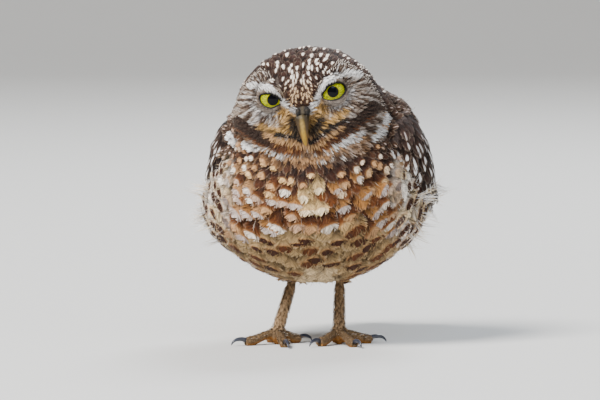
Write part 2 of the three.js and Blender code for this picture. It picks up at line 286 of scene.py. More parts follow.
def part_of(regions, *starts):
    """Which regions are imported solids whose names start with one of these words."""
    return np.isin(regions, [number for name, number in REGION.items() if name.startswith(starts)])


# The painting functions fade their colours over heights and distances in millimetres, of the front view
# for places and of the drawing for points. A share before a fade is how strong the colour gets.
def chest_colours(points, places, behind, dice):
    """Ground, mark and mark shape down the front: spotted breast, pale scallops, barred belly."""
    count = len(points)
    up = places[:, 1] + 3.0 * waves(points, 26, 11)
    across = places[:, 0]
    pick, turn = waves(points, 7, 14), waves(points, 8, 15)
    glow = np.maximum(fade(up, 87, 80), fade(across, 16, 26) * fade(up, 92, 84))
    ground = blend(filled(BREAST_BROWN, count), RUST, glow)
    ground = blend(ground, ORANGE_BUFF, 0.8 * settled(fade(turn, -0.1, 0.4) * glow, dice))
    side = fade(across, -24, -32) * fade(turn, -0.6, 0.2) * fade(places[:, 1], 100, 92)
    ground = blend(ground, PEACH, 0.8 * settled(0.7 * side, dice))
    mark = blend(filled(PEACH, count), BUFF, fade(pick, -0.4, 0.0))
    whiter = 0.3 - 0.5 * fade(np.abs(across - CHEST_MIDDLE), 18, 32)
    mark = blend(mark, SPOT_WHITE, 0.85 * fade(pick, whiter, 0.6))
    mark = blend(mark, LAVENDER, 0.9 * fade(turn, -0.3, 0.3) * glow)
    mark = blend(mark, mark * 0.72, glow * fade(across, -20, 10))
    shape = blend(filled(BREAST_SPOT, count), BREAST_SCALLOP, glow)

    bib = fade(np.abs(across + 10), 24, 14) * fade(places[:, 1], 91, 94) * fade(places[:, 1], 103, 99)
    ground = blend(ground, WARM_BROWN, 0.8 * bib)
    shape = blend(shape, BIB_SCALLOP, bib)
    patch = np.hypot(across + 2.5, (places[:, 1] - 74.5) * 0.8) + 3 * turn
    middle = settled(fade(patch, 9, 3.5), dice)
    ground = blend(ground, STRAW, 0.8 * middle)
    mark = blend(mark, CREAM, middle)

    low = settled(np.maximum(fade(up, 63, 55), behind), dice)
    ground = blend(ground, BELLY_CREAM, low)
    mark = blend(mark, blend(filled(DARK_RUST, count), RUST, 0.5 * fade(pick, -0.2, 0.4)), low)
    shape = blend(shape, BELLY_BAR, low)
    fluff = settled(fade(np.abs(across - 2), 12, 6) * fade(places[:, 1], 44, 39), dice)
    shape[:, 3] *= 1 - fluff
    return blend(ground, CREAM, 0.5 * fluff), mark, shape


def paint_body(points, places, facing_down, regions, dice):
    """Ground and mark colours of the trunk's plumage and how its marks sit on the vanes."""
    trunk = to_trunk(points)
    count = len(points)
    front = fade(trunk[:, 1], 16, 6) * (1 - fade(points[:, 2], 110, 118) * fade(trunk[:, 1], -18, -10))
    chest, chest_mark, chest_shape = chest_colours(points, places, fade(trunk[:, 1], 4, 20), dice)
    edge = fade(np.abs(trunk[:, 0] - WING_ASIDE), 41, 47) * fade(places[:, 1], 104, 94)
    pale = blend(filled(CREAM, count), SPOT_WHITE, fade(waves(points, 9, 8), -0.3, 0.3))
    chest = blend(chest, pale, edge)
    chest_mark = blend(chest_mark, DARK_RUST, edge)
    chest_shape = blend(chest_shape, FLANK_BAR, edge)

    side_on = np.maximum(front, fade(points[:, 2], 92, 84) * fade(trunk[:, 1], 44, 34))
    ground = blend(filled(BACK_BROWN, count), chest, side_on)
    mark = blend(filled(SPOT_WHITE, count), chest_mark, side_on)
    shape = blend(filled(BACK_SPOT, count), chest_shape, side_on)
    shoulder = fade(np.abs(places[:, 0] - CHEST_MIDDLE), 36, 41) * fade(places[:, 1], 96, 103)
    ground = blend(ground, BACK_BROWN, shoulder)
    mark = blend(mark, LAVENDER, shoulder)
    shape = blend(shape, SHOULDER_FLECK, shoulder)
    under = (1 - front) * fade(facing_down, 0.15, 0.55) * fade(points[:, 2], 64, 56)
    ground = blend(ground, BELLY_CREAM, under)
    mark = blend(mark, RUST, under)
    wing = part_of(regions, "wing").astype(float)
    wing_ground = blend(filled(WING_DUSK, count), WING_BROWN, fade(points[:, 2], 118, 98))
    ground = blend(ground, wing_ground, wing)
    lower = fade(points[:, 2], 120, 94)
    mark = blend(mark, blend(filled(LAVENDER * 0.7, count), WHITE, lower), wing)
    drops = blend(filled(WING_FLECK, count), WING_DROP, lower)
    return ground, mark, blend(shape, drops, wing)


def paint_bands(places, facing, colours, dice):
    """The rings under the face: dark collar, white band and a buff one, on head and neck alike."""
    ground, mark, shape = colours
    front = fade(facing, 0.0, 0.25)
    aside = np.abs(places[:, 0] - RING_MIDDLE)
    middle = fade(aside, 40, 30)
    warm = fade(places[:, 1], 98, 102) * fade(places[:, 1], 112, 108) * front * middle
    ground = blend(ground, WARM_BROWN, 0.5 * warm)
    shape[:, 3] *= 1 - 0.85 * warm
    rusty = blend(filled(COLLAR_BROWN, len(places)), RUST, 0.8 * fade(aside, 24, 10))
    speckled = np.column_stack((places, places[:, 0]))
    flecks = fade(waves(speckled, 3, 33), 0, 1) * fade(aside, 24, 14)
    tips = blend(rusty, ORANGE_BUFF, settled(0.6 * flecks, dice))
    lower = places + np.array((0, 2.8))
    broken = fade(waves(speckled, 5, 35), 0.1, 0.5)
    pale = blend(filled(WHITE, len(places)), PEACH, settled(0.55 * broken, dice))
    for colour, where, paths, half in (
        (PEACH, places, BUFF_BAND, 1.5),
        (pale, places, WHITE_BAND, 2.2),
        (RUST, lower, COLLAR, 1.3),
        (tips, places, COLLAR, 2.8),
        (TAN, places, CHIN_RIM, 1.3),
    ):
        amount = settled(band(where, paths, half, 1.0) * front, dice)
        ground = blend(ground, colour, amount)
        shape[:, 3] *= 1 - amount
    # Painted shade: the mouth's slit is darkened almost to black along its band.
    mouth = band(places, MOUTH, 0.9, 0.5) * front
    return blend(ground, GAPE_SHADOW, settled(0.95 * mouth, dice)), mark, shape


def paint_disc(points, places, reach):
    """The face's disc: streaks round the eyes, pale under them, golden beside the bill, with painted shade
    in the hollows there.
    """
    count = len(points)
    streak = np.zeros(count)
    nearest = np.full(count, 1e9)
    for eye in EYES.values():
        way = places - front_view(eye[None])[0]
        gap = np.linalg.norm(way, axis=1)
        round_eye = np.column_stack((way / np.maximum(gap, 1)[:, None] * 34, gap * 0.4))
        streak = np.where(gap < nearest, waves(round_eye, 4.0, 21), streak)
        nearest = np.minimum(gap, nearest)
    streak = streak + 0.35 * waves(points, 1.7, 22)
    cheek = blend(filled(CHEEK_BROWN, count), CHEEK_GREY, fade(streak, -0.35, 0.15))
    cheek = blend(cheek, WHITE, (0.55 - 0.3 * fade(places[:, 0], 16, 24)) * fade(streak, 0.15, 0.8))
    cheek = blend(cheek, WHITE, 0.7 * band(places, UNDER_EYES, 1.6, 1.8))
    cheek = blend(cheek, CHEEK_GREY, 0.7 * fade(nearest, 9.5, 7.5))
    golden = blend(filled(OLIVE_GOLD, count), OLIVE_GOLD * 0.4, fade(streak, 0.1, -0.5))
    cheek = blend(cheek, golden, 0.85 * fade(reach, 17, 11))
    cheek = blend(cheek, golden, 0.9 * band(places, MOUSTACHE, 1.8, 1.2))
    # Painted shade: the hollows beside the bill are darkened almost to black.
    return blend(cheek, HOLLOW_SHADOW, 0.97 * band(places, BILL_SHADOWS, 2.5, 1.0))


def paint_head(points, places, facing, dice):
    """Crown with drop marks, white brows and the face's disc."""
    head = to_head(points)
    count = len(points)
    front = fade(facing, 0.05, 0.35)
    reach = np.linalg.norm(points - BILL, axis=1)
    crown = blend(filled(CROWN_BROWN, count), FOREHEAD, fade(reach, 24, 12))
    below = np.where((np.abs(head[:, 0]) < 9) & (head[:, 1] < -10), fade(head[:, 2], 9, 6), 0)
    disc = fade(head[:, 2] - brow_height(head), 1.2, -1.2)
    disc = disc * fade(head[:, 1], -2, -8) * fade(head[:, 2], -24, -20)
    disc = settled(np.maximum(disc, below), dice)
    ground = blend(crown, paint_disc(points, places, reach), disc)
    brow = settled(band(places, BROWS, 1.8, 0.8) * front, dice)
    ground = blend(ground, WHITE, brow)
    marks = blend(filled(SPOT_WHITE, count), BUFF * 0.75, 0.85 * fade(reach, 24, 13))
    drops = blend(filled(BROW_DROP, count), CROWN_DROP, fade(reach, 32, 46))
    drops[:, 3] = (1 - disc) * (1 - brow)
    return ground, marks, drops


# The brow's heights in the head's own frame at distances from its middle
BROW_ASIDE = (0, 5, 11, 19, 27, 40)
BROW_HEIGHTS = (5.5, 8.5, 17.5, 22.5, 22.5, 20.5)


def brow_height(head):
    """How high the brow runs over the face, in the head's own frame."""
    return np.interp(np.abs(head[:, 0]), BROW_ASIDE, BROW_HEIGHTS)


def paint(points, normals, regions, dice=None):
    """Ground colour, mark colour and mark shape (place along, half length, half width, strength)."""
    places = front_view(points)
    facing = -normals[:, 1]
    trunk = paint_body(points, places, -normals[:, 2], regions, dice)
    top = paint_head(points, places, facing, dice)
    weight = part_of(regions, "head") * fade(np.abs(places[:, 0] - CHEST_MIDDLE), 43, 39)
    result = [blend(a, b, weight) for a, b in zip(trunk, top)]
    result = list(paint_bands(places, facing, result, dice))
    leg = part_of(regions, "tarsus", "thigh")
    toe = part_of(regions, "toe", "foot")
    result[0] = blend(result[0], CREAM * 0.9, leg & (points[:, 2] > 36))
    result[0] = blend(result[0], LEG_BUFF, leg * fade(points[:, 2], 38, 32))
    result[0] = blend(result[0], TOE_GREY, toe)
    result[0] = blend(result[0], PAD_ORANGE, 0.8 * toe * fade(normals[:, 2], -0.15, -0.6))
    result[2][:, 3] *= 1 - (leg | toe)
    return result


# Shader nodes
def add(tree, kind, inputs=None, **settings):
    """A shader node with its settings, its inputs fed by values or by other nodes' outputs."""
    made = tree.nodes.new(kind)
    for key, value in settings.items():
        setattr(made, key, value)
    for key, value in (inputs or {}).items():
        if isinstance(value, bpy.types.NodeSocket):
            tree.links.new(value, made.inputs[key])
        else:
            made.inputs[key].default_value = value
    return made


def maths(tree, operation, *values):
    """A math node fed by values or outputs."""
    node = add(tree, "ShaderNodeMath", dict(enumerate(values)), operation=operation)
    return node.outputs[0]


def soft_step(tree, value, none, full):
    """0 at none and 1 at full with a soft start and end, in a shader."""
    inputs = {"Value": value, "From Min": none, "From Max": full}
    node = add(tree, "ShaderNodeMapRange", inputs, interpolation_type="SMOOTHSTEP")
    return node.outputs["Result"]


def mixed(tree, amount, under, over, way="MIX"):
    """Two colours mixed by an amount, each a value or an output."""
    node = add(tree, "ShaderNodeMix", data_type="RGBA", blend_type=way)
    for socket, value in ((node.inputs[0], amount), (node.inputs[6], under), (node.inputs[7], over)):
        if isinstance(value, bpy.types.NodeSocket):
            tree.links.new(value, socket)
        elif socket.type == "RGBA" and len(value) == 3:
            socket.default_value = (*value, 1)
        else:
            socket.default_value = value
    return node.outputs[2]


def partly(tree, mask, share, under, over):
    """Two colours mixed by a share of a mask."""
    return mixed(tree, maths(tree, "MULTIPLY", mask, share), under, over)


def object_places(tree):
    """Places in the piece's own coordinates."""
    return add(tree, "ShaderNodeTexCoord").outputs["Object"]


def noise_at(tree, where, scale, detail):
    """A noise, 0 to 1, at places."""
    node = add(tree, "ShaderNodeTexNoise", {"Vector": where, "Scale": scale, "Detail": detail})
    return node.outputs[0]


def measured(tree, where, way):
    """How far places lie along a way."""
    node = add(tree, "ShaderNodeVectorMath", {0: where, 1: way}, operation="DOT_PRODUCT")
    return node.outputs["Value"]


def bumped(tree, surface, height, strength, distance):
    """Gives a surface a bump from a height."""
    bump = add(tree, "ShaderNodeBump", {"Height": height, "Strength": strength, "Distance": distance})
    tree.links.new(bump.outputs[0], surface.inputs["Normal"])


def new_material(name, roughness, coat=0.0, specular=0.5):
    """A new material, its tree and its surface shader."""
    material = bpy.data.materials.new(name)
    material.use_nodes = True
    tree = material.node_tree
    surface = tree.nodes["Principled BSDF"]
    surface.inputs["Roughness"].default_value = roughness
    surface.inputs["Coat Weight"].default_value = coat
    surface.inputs["Coat Roughness"].default_value = 0.04
    surface.inputs["Specular IOR Level"].default_value = specular
    return material, tree, surface


# The browns that rim the marks, wear at the vane's edge and run along the shaft, in linear values
RIM_BROWN = (0.36, 0.17, 0.06)
WORN_EDGE = (0.5, 0.4, 0.3)
SHAFT_BROWN = (0.05, 0.035, 0.025)
# How far the barbs slope forwards from the shaft to the vane's edge, as a share of the feather's length
BARB_SLOPE = 0.4
# Millimetres that every feather keeps above the floor
FLOOR_CLEARANCE = 0.1


def vane_group():
    """The pattern on one vane: its mark with a warm rim, the barbs, the shaft, and painted shade towards the
    root where the feathers overlap.
    """
    group = bpy.data.node_groups.new("vane pattern", "ShaderNodeTree")
    face = group.interface
    for name, kind in (
        ("Ground", "Color"), ("Mark", "Color"), ("Shape", "Color"),
        ("Strength", "Float"), ("Along", "Float"), ("Across", "Float"),
        ("Bars", "Float"), ("Warmth", "Float"), ("Throw", "Float"),
    ):
        face.new_socket(name, in_out="INPUT", socket_type="NodeSocket" + kind)
    face.new_socket("Color", in_out="OUTPUT", socket_type="NodeSocketColor")
    given = group.nodes.new("NodeGroupInput").outputs
    result = group.nodes.new("NodeGroupOutput").inputs
    shape = add(group, "ShaderNodeSeparateColor", {"Color": given["Shape"]}).outputs
    along, throw = given["Along"], given["Throw"]
    aside = maths(group, "MULTIPLY_ADD", given["Across"], 2.0, -1.0)
    side = maths(group, "ABSOLUTE", aside)
    barb = maths(group, "MULTIPLY", maths(group, "MULTIPLY_ADD", side, -BARB_SLOPE, along), 17.0)
    spread = maths(group, "MULTIPLY", aside, 1.6)
    apart = maths(group, "MULTIPLY", throw, 90.0)
    where = add(group, "ShaderNodeCombineXYZ", {0: barb, 1: spread, 2: apart}).outputs[0]
    grain = noise_at(group, where, 1.0, 3.0)

    repeated = maths(group, "GREATER_THAN", given["Bars"], 0.5)
    single = maths(group, "SUBTRACT", 1.0, repeated)
    steps = maths(group, "FRACT", maths(group, "MULTIPLY_ADD", along, given["Bars"], throw))
    offset_one = maths(group, "SUBTRACT", along, shape["Red"])
    offset_many = maths(group, "SUBTRACT", steps, 0.5)
    offset = add(group, "ShaderNodeMix", {0: repeated, 2: offset_one, 3: offset_many}).outputs[0]
    length_way = maths(group, "DIVIDE", offset, shape["Green"])
    swell = maths(group, "MAXIMUM", maths(group, "MINIMUM", length_way, 1.0), -1.0)
    swell = maths(group, "MULTIPLY", swell, single)
    width = maths(group, "MULTIPLY", shape["Blue"], maths(group, "MULTIPLY_ADD", swell, 0.15, 1.0))
    slip = maths(group, "MULTIPLY", maths(group, "MULTIPLY_ADD", throw, 0.3, -0.15), single)
    width_way = maths(group, "DIVIDE", maths(group, "SUBTRACT", aside, slip), width)
    squares = maths(group, "MULTIPLY", width_way, width_way)
    distance = maths(group, "SQRT", maths(group, "MULTIPLY_ADD", length_way, length_way, squares))
    distance = maths(group, "MULTIPLY_ADD", maths(group, "SUBTRACT", grain, 0.5), 0.7, distance)
    mark = maths(group, "MULTIPLY", soft_step(group, distance, 1.2, 0.8), given["Strength"])

    past = maths(group, "DIVIDE", maths(group, "MAXIMUM", maths(group, "SUBTRACT", along, 0.58), 0.0), 0.42)
    square = maths(group, "MULTIPLY", side, side)
    rim = maths(group, "SQRT", maths(group, "MULTIPLY_ADD", past, past, square))
    dusky = mixed(group, 1.0, given["Ground"], (0.5, 0.44, 0.4), "MULTIPLY")
    ground = partly(group, soft_step(group, rim, 0.9, 0.4), 0.25, given["Ground"], dusky)
    ground = partly(group, soft_step(group, rim, 0.72, 1.0), 0.22, ground, WORN_EDGE)
    glow = maths(group, "MULTIPLY", soft_step(group, distance, 1.75, 1.0), given["Strength"])
    ground = partly(group, glow, given["Warmth"], ground, RIM_BROWN)
    colour = mixed(group, mark, ground, given["Mark"])

    light = add(group, "ShaderNodeMapRange", {"Value": grain, 1: 0.32, 2: 0.66, 3: 0.5, 4: 1.25})
    colour = mixed(group, 1.0, colour, light.outputs["Result"], "MULTIPLY")
    # Painted shade: the vane darkens towards its root, where the feathers above it would shade it.
    shadow = mixed(group, 1.0, colour, (0.1, 0.075, 0.06), "MULTIPLY")
    colour = partly(group, soft_step(group, along, 0.72, 0.3), 0.8, colour, shadow)
    colour = partly(group, soft_step(group, side, 0.08, 0.03), 0.2, colour, SHAFT_BROWN)
    group.links.new(colour, result["Color"])
    return group


VANE = vane_group()


def plumage_material(name, bars=0.0, roughness=0.72):
    """Feather vanes coloured by each feather's attributes, whose alphas are a throw of dice and a warmth."""
    material, tree, surface = new_material(name, roughness, specular=0.16)
    surface.inputs["Sheen Weight"].default_value = 0.03
    place = add(tree, "ShaderNodeSeparateXYZ", {0: add(tree, "ShaderNodeUVMap", uv_map="Vane").outputs[0]})
    ground, mark, shape = (
        add(tree, "ShaderNodeAttribute", attribute_name=name) for name in ("ground", "mark", "shape")
    )
    pattern = add(tree, "ShaderNodeGroup", node_tree=VANE)
    for socket, source in (
        ("Ground", ground.outputs["Color"]), ("Throw", ground.outputs["Alpha"]),
        ("Mark", mark.outputs["Color"]), ("Warmth", mark.outputs["Alpha"]),
        ("Shape", shape.outputs["Color"]), ("Strength", shape.outputs["Alpha"]),
        ("Along", place.outputs[1]), ("Across", place.outputs[0]),
    ):
        tree.links.new(source, pattern.inputs[socket])
    pattern.inputs["Bars"].default_value = bars
    tree.links.new(pattern.outputs[0], surface.inputs["Base Color"])
    return material


def skin_material():
    """Skin and down between the feathers: the plumage's ground colours, darkened as painted shade, with a
    fine bump.
    """
    material, tree, surface = new_material("skin and down", 0.8, specular=0.25)
    where = object_places(tree)
    ground = add(tree, "ShaderNodeAttribute", attribute_name="ground").outputs["Color"]
    down = noise_at(tree, where, 900.0, 3.0)
    scales = add(tree, "ShaderNodeTexVoronoi", {"Vector": where, "Scale": 900.0}).outputs[0]
    colour = mixed(tree, soft_step(tree, down, 0.35, 0.7), ground, (0.45, 0.4, 0.36), "MULTIPLY")
    tree.links.new(colour, surface.inputs["Base Color"])
    bumped(tree, surface, maths(tree, "ADD", down, scales), 0.5, 0.0004)
    return material


# Meshes
# The empty edge of a flat map and the size of one feather's patch on it, as shares of the map
MAP_EDGE = 0.04
TUFT_PATCH = 0.003


def linked(name, data):
    """A new object in the scene that shows that data."""
    made = bpy.data.objects.new(name, data)
    bpy.context.scene.collection.objects.link(made)
    return made


def add_mesh(name, points, faces, maps=None, colours=None):
    """A new smooth object from arrays: points, faces of one size, UV maps and colours by point."""
    mesh = bpy.data.meshes.new(name)
    mesh.vertices.add(len(points))
    mesh.vertices.foreach_set("co", ((points - MIDDLE) * MM).astype(np.float32).ravel())
    mesh.loops.add(faces.size)
    mesh.loops.foreach_set("vertex_index", faces.ravel().astype(np.int32))
    mesh.polygons.add(len(faces))
    mesh.polygons.foreach_set("loop_start", np.arange(0, faces.size, faces.shape[1], dtype=np.int32))
    mesh.update(calc_edges=True)
    mesh.polygons.foreach_set("use_smooth", np.ones(len(faces), bool))
    for label, places in (maps or {}).items():
        layer = mesh.uv_layers.new(name=label)
        layer.data.foreach_set("uv", places[faces.ravel()].astype(np.float32).ravel())
    for label, values in (colours or {}).items():
        layer = mesh.attributes.new(label, "FLOAT_COLOR", "POINT")
        if values.shape[1] == 3:
            values = np.column_stack((values, np.ones(len(values))))
        layer.data.foreach_set("color", values.astype(np.float32).ravel())
    return linked(name, mesh)


def finished(piece, slot, material, *stands_for):
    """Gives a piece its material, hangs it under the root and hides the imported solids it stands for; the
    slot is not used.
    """
    piece.data.materials.clear()
    piece.data.materials.append(material)
    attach(piece, "root")
    if stands_for:
        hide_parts(*stands_for)
    return piece


def merged_shape(node, grow=0.0):
    """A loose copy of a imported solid's shape with its corners merged, grown by so many millimetres."""
    shape = bmesh.new()
    shape.from_mesh(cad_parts[node].data)
    bmesh.ops.remove_doubles(shape, verts=shape.verts, dist=1e-6)
    shape.normal_update()
    for vertex in shape.verts:
        vertex.co += vertex.normal * grow * MM
    return shape


def arrays_of(mesh):
    """Points and normals in the drawing's millimetres, and the faces as triangles."""
    mesh.calc_loop_triangles()
    points = np.empty(len(mesh.vertices) * 3, np.float32)
    normals = np.empty(len(mesh.vertices) * 3, np.float32)
    faces = np.empty(len(mesh.loop_triangles) * 3, np.int32)
    mesh.vertices.foreach_get("co", points)
    mesh.vertices.foreach_get("normal", normals)
    mesh.loop_triangles.foreach_get("vertices", faces)
    return drawing(points.reshape(-1, 3)), normals.reshape(-1, 3).astype(float), faces.reshape(-1, 3)


def melt(piece, cell, rounds):
    """Modifiers that run a piece's shapes together into one shell and then calm it."""
    shell = piece.modifiers.new("shell", "REMESH")
    shell.mode = "VOXEL"
    shell.voxel_size = cell * MM
    shell.use_smooth_shade = True
    calm = piece.modifiers.new("calm", "SMOOTH")
    calm.iterations = rounds


def fused(nodes, grow, cell, rounds, plugs=()):
    """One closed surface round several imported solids: points, normals and triangles."""
    whole = bmesh.new()
    for node in nodes:
        part = merged_shape(node, grow)
        piece = bpy.data.meshes.new("part")
        part.to_mesh(piece)
        part.free()
        whole.from_mesh(piece)
        bpy.data.meshes.remove(piece)
    for centre, radius in plugs:
        place = Matrix.Translation(Vector((centre - MIDDLE) * MM))
        bmesh.ops.create_icosphere(whole, subdivisions=3, radius=radius * MM, matrix=place)
    mesh = bpy.data.meshes.new("fused")
    whole.to_mesh(mesh)
    whole.free()
    holder = linked("fused", mesh)
    melt(holder, cell, rounds)
    made = holder.evaluated_get(bpy.context.evaluated_depsgraph_get()).to_mesh()
    result = arrays_of(made)
    bpy.data.objects.remove(holder)
    bpy.data.meshes.remove(mesh)
    return result


def region_finder():
    """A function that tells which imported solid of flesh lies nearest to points."""
    points, faces, owner = [], [], []
    count = 0
    for name in FLESH_NODES:
        co, _, tri = arrays_of(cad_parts[name].data)
        points.append(co)
        faces.append(tri + count)
        owner += [REGION[name]] * len(tri)
        count += len(co)
    tree = BVHTree.FromPolygons(np.vstack(points).tolist(), np.vstack(faces).tolist())
    owner = np.array(owner)

    def find(places):
        """The number of the solid nearest to each place."""
        return owner[[tree.find_nearest(p)[2] for p in places.tolist()]]

    return find


region_of = region_finder()


def coat_depth(points, regions):
    """How far the skin lies under the plumage's outer surface, in millimetres."""
    depth = np.full(len(points), 2.3)
    reach = np.linalg.norm(points - BILL, axis=1)
    depth = np.where(part_of(regions, "head"), 0.7 + 0.9 * fade(reach, 18, 60), depth)
    for name, thinner in (("neck", 1.7), ("wing", 1.3), ("thigh", 1.2)):
        depth = np.where(part_of(regions, name), thinner, depth)
    eye_gap = np.minimum(*(np.linalg.norm(points - eye, axis=1) for eye in EYES.values()))
    return depth + 0.35 - 0.3 * fade(eye_gap, 10, 8)


# Balls that fill the eye sockets and the face behind the bill, in the head's frame, under the skin
EYE_PLUG = 7.2
FACE_PLUG = ((0, -27, 5), 5.5)
# The skin of the soles: what lies lower than the first height is brought down to the second
SOLE_TOP = 0.35
SOLE = 0.02


def make_skin():
    """One skin for trunk, head, wings and legs; returns the arrays of its body part and of its legs."""
    plugs = [(eye, EYE_PLUG) for eye in EYES.values()] + [(from_head(FACE_PLUG[0]), FACE_PLUG[1])]
    points, normals, faces = fused(BODY_NODES, 0.35, 1.0, 5, plugs)
    regions = region_of(points)
    points = points - normals * coat_depth(points, regions)[:, None]
    body = {"points": points, "normals": normals, "faces": faces, "regions": regions}
    low, low_normals, low_faces = fused(LEG_NODES, 0.3, 0.5, 6)
    low_regions = region_of(low)
    foot = part_of(low_regions, "toe", "foot")
    low = low - low_normals * np.where(foot, 0.25, 0.65)[:, None]
    low[:, 2] = np.where(low[:, 2] < SOLE_TOP, SOLE, low[:, 2])
    legs = {"points": low, "normals": low_normals, "faces": low_faces, "regions": low_regions}
    all_points = np.vstack((points, low))
    all_normals = np.vstack((normals, low_normals))
    ground, mark, shape = paint(all_points, all_normals, np.hstack((regions, low_regions)))
    # The skin takes the plumage's colours darkened to six tenths, as painted shade between the feathers.
    colours = blend(ground, mark, 0.1 * shape[:, 3]) * 0.6
    all_faces = np.vstack((faces, low_faces + len(points)))
    piece = add_mesh("skin", all_points, all_faces, {"OFBake": unwrap(all_points)}, {"ground": colours})
    finished(piece, "pale_plumage", skin_material(), *FLESH_NODES)
    return body, legs


def on_map(share):
    """A share of the way over a flat map, kept off the map's edges."""
    return MAP_EDGE + (1 - 2 * MAP_EDGE) * share


def unwrap(points):
    """Places on a map of the body's own shape: the way round it and the way down it."""
    way = unit(points - np.array((0, 4, 90)))
    across = np.arctan2(way[:, 0], -way[:, 1]) / (2 * math.pi) + 0.5
    down = np.arccos(np.clip(way[:, 2], -1, 1)) / math.pi
    flat = np.column_stack((across, down))
    low, high = flat.min(0), flat.max(0)
    return on_map((flat - low) / np.maximum(high - low, 1e-6))


# Eyes' openings and lids
EYE_LOOK = {"right": (0.077, -1, -0.07), "left": (0.026, -1, 0.035)}
HOOD_WAY = {"right": 62, "left": 128}
HOOD = {"right": 1.2, "left": 1.7}
LID_BLACK = tone(12, 10, 9)
# The lid's outer edge, and its wall into the skin: part of the way down, and the share outwards there
LID_EDGE = 9.0
LID_REACH = 1.25
LID_WALL = ((0.34, 1.08), (0.67, 1.16), (1.0, LID_REACH))
# How far the wall leans outwards for each millimetre that it crosses, and how deep it ends in the skin
WALL_LEAN = 0.8
WALL_DEPTH = 0.8
# Each eye's opening, in millimetres across and up from the pupil as the camera sees it
OPENINGS = {
    "right": [
        (-6.6, 1.9), (-3, 2.5), (0.3, 1.6), (2.6, 0.3), (4.3, -1.4), (1.6, -2.8), (-2.3, -3.8), (-5.6, -1.8),
    ],
    "left": [
        (-5.5, -3), (-3.5, 0.6), (-0.4, 3.1), (3.2, 4.3), (5.8, 3.5), (6.6, 1), (4.8, -1.6), (0.8, -3.7),
        (-2.5, -4),
    ],
}


def opening_radius(side, angles):
    """How far the eye's opening reaches from the pupil in each direction."""
    corners = np.array(OPENINGS[side])
    turn = np.arctan2(corners[:, 1], corners[:, 0])
    order = np.argsort(turn)
    turn, reach = turn[order], np.hypot(*corners[order].T)
    turn = np.concatenate((turn - 2 * math.pi, turn, turn + 2 * math.pi))
    reach = np.tile(reach, 3)
    return sum(np.interp(angles + shift, turn, reach) for shift in (-0.16, -0.08, 0, 0.08, 0.16)) / 5


def lid_foot(rim, side, look, tree):
    """Where the edge of a lid's shell runs into the skin, a little outwards of it."""
    way = rim - EYES[side]
    away = unit(way - (way @ look)[:, None] * look)
    foot = []
    for place, outwards in zip(rim, away):
        spot, normal, _, _ = tree.find_nearest(place.tolist())
        gap = (place - np.array(spot)) @ np.array(normal)
        if gap > 0:
            spot, normal, _, _ = tree.find_nearest((place + outwards * WALL_LEAN * gap).tolist())
            foot.append(np.array(spot) - WALL_DEPTH * np.array(normal))
        else:
            foot.append(place - 0.6 * look)
    return np.array(foot)


def lid_surface(side, tree):
    """A lid shell round an eye's opening, hooded above, as a surface with its points' share outwards."""
    around = 72
    angles = np.arange(around) * 2 * math.pi / around
    inner = opening_radius(side, angles)
    look = unit(np.array(EYE_LOOK[side]))
    right = unit(np.cross(look, (0, 0, 1)))
    right = right * np.sign(right[0])
    up = unit(np.cross(right, -look))
    up = up * np.sign(up[2])
    above = np.clip(np.cos(angles - math.radians(HOOD_WAY[side])), 0, 1)
    share = np.linspace(0, 1, 12)
    points = []
    for part in share:
        radius = inner + (LID_EDGE - inner) * part
        shell = 8.0 + 0.42 * math.sin(min(part * 4, 1) * math.pi / 2) - 0.25 * (part == 0)
        shell = shell + HOOD[side] * above * math.sin(part**0.7 * math.pi)
        drop = np.sqrt(np.maximum(shell**2 - np.minimum(radius, shell * 0.97) ** 2, 0.5))
        ring = EYES[side] + look * drop[:, None]
        ring = ring + right * (radius * np.cos(angles))[:, None] + up * (radius * np.sin(angles))[:, None]
        points.append(ring)
    rim = points[-1]
    foot = lid_foot(rim, side, look, tree)
    points += [rim + (foot - rim) * part for part, _ in LID_WALL]
    share = np.concatenate((share, [outwards for _, outwards in LID_WALL]))
    points = np.vstack(points)
    base = np.arange(around)
    faces = []
    for ring in range(len(share) - 1):
        a = ring * around + base
        b = ring * around + (base + 1) % around
        faces += [np.column_stack((a, b, b + around)), np.column_stack((a, b + around, a + around))]
    faces = np.vstack(faces)
    shape = bpy.data.meshes.new("lid")
    shape.from_pydata(points.tolist(), [], faces.tolist())
    normals = np.empty(len(points) * 3, np.float32)
    shape.vertices.foreach_get("normal", normals)
    bpy.data.meshes.remove(shape)
    normals = normals.reshape(-1, 3).astype(float)
    normals = normals * np.sign((normals @ look).mean())
    outward = np.repeat(share, around)
    regions = np.full(len(points), REGION["head"])
    return {"points": points, "normals": normals, "faces": faces, "regions": regions, "share": outward}


def eyelids(side, lid):
    """The lids' own piece: dark rims that run under the face's feathers."""
    points, share = lid["points"], lid["share"]
    way = points - EYES[side]
    thick = 0.13 + 0.14 * fade(way[:, 2] / np.linalg.norm(way[:, (0, 2)], axis=1), -0.6, 0.3)
    colours = blend(filled(CHEEK_GREY * 0.5, len(points)), LID_BLACK, fade(share / thick, 1.5, 1.0))
    turn = np.arctan2(way[:, 2], way[:, 0]) / (2 * math.pi) + 0.5
    flat = on_map(np.column_stack((turn, share / LID_REACH)))
    piece = add_mesh("eyelid_" + side, points, lid["faces"], {"OFBake": flat}, {"ground": colours})
    return finished(piece, "pale_plumage", LID_MATERIAL)


def joined(surfaces):
    """Several surfaces as one for scattering and laying feathers."""
    starts = np.cumsum([0] + [len(s["points"]) for s in surfaces[:-1]])
    whole = {key: np.concatenate([s[key] for s in surfaces]) for key in ("points", "normals", "regions")}
    whole["faces"] = np.concatenate([s["faces"] + start for s, start in zip(surfaces, starts)])
    return whole


# Feathers
FEET = {"left": (12.8, 3, 4), "right": (-20, 3, 4)}


def nearest_foot(points):
    """The middle of the foot on whose side each point lies."""
    return np.where(points[:, :1] > -3, FEET["left"], FEET["right"])


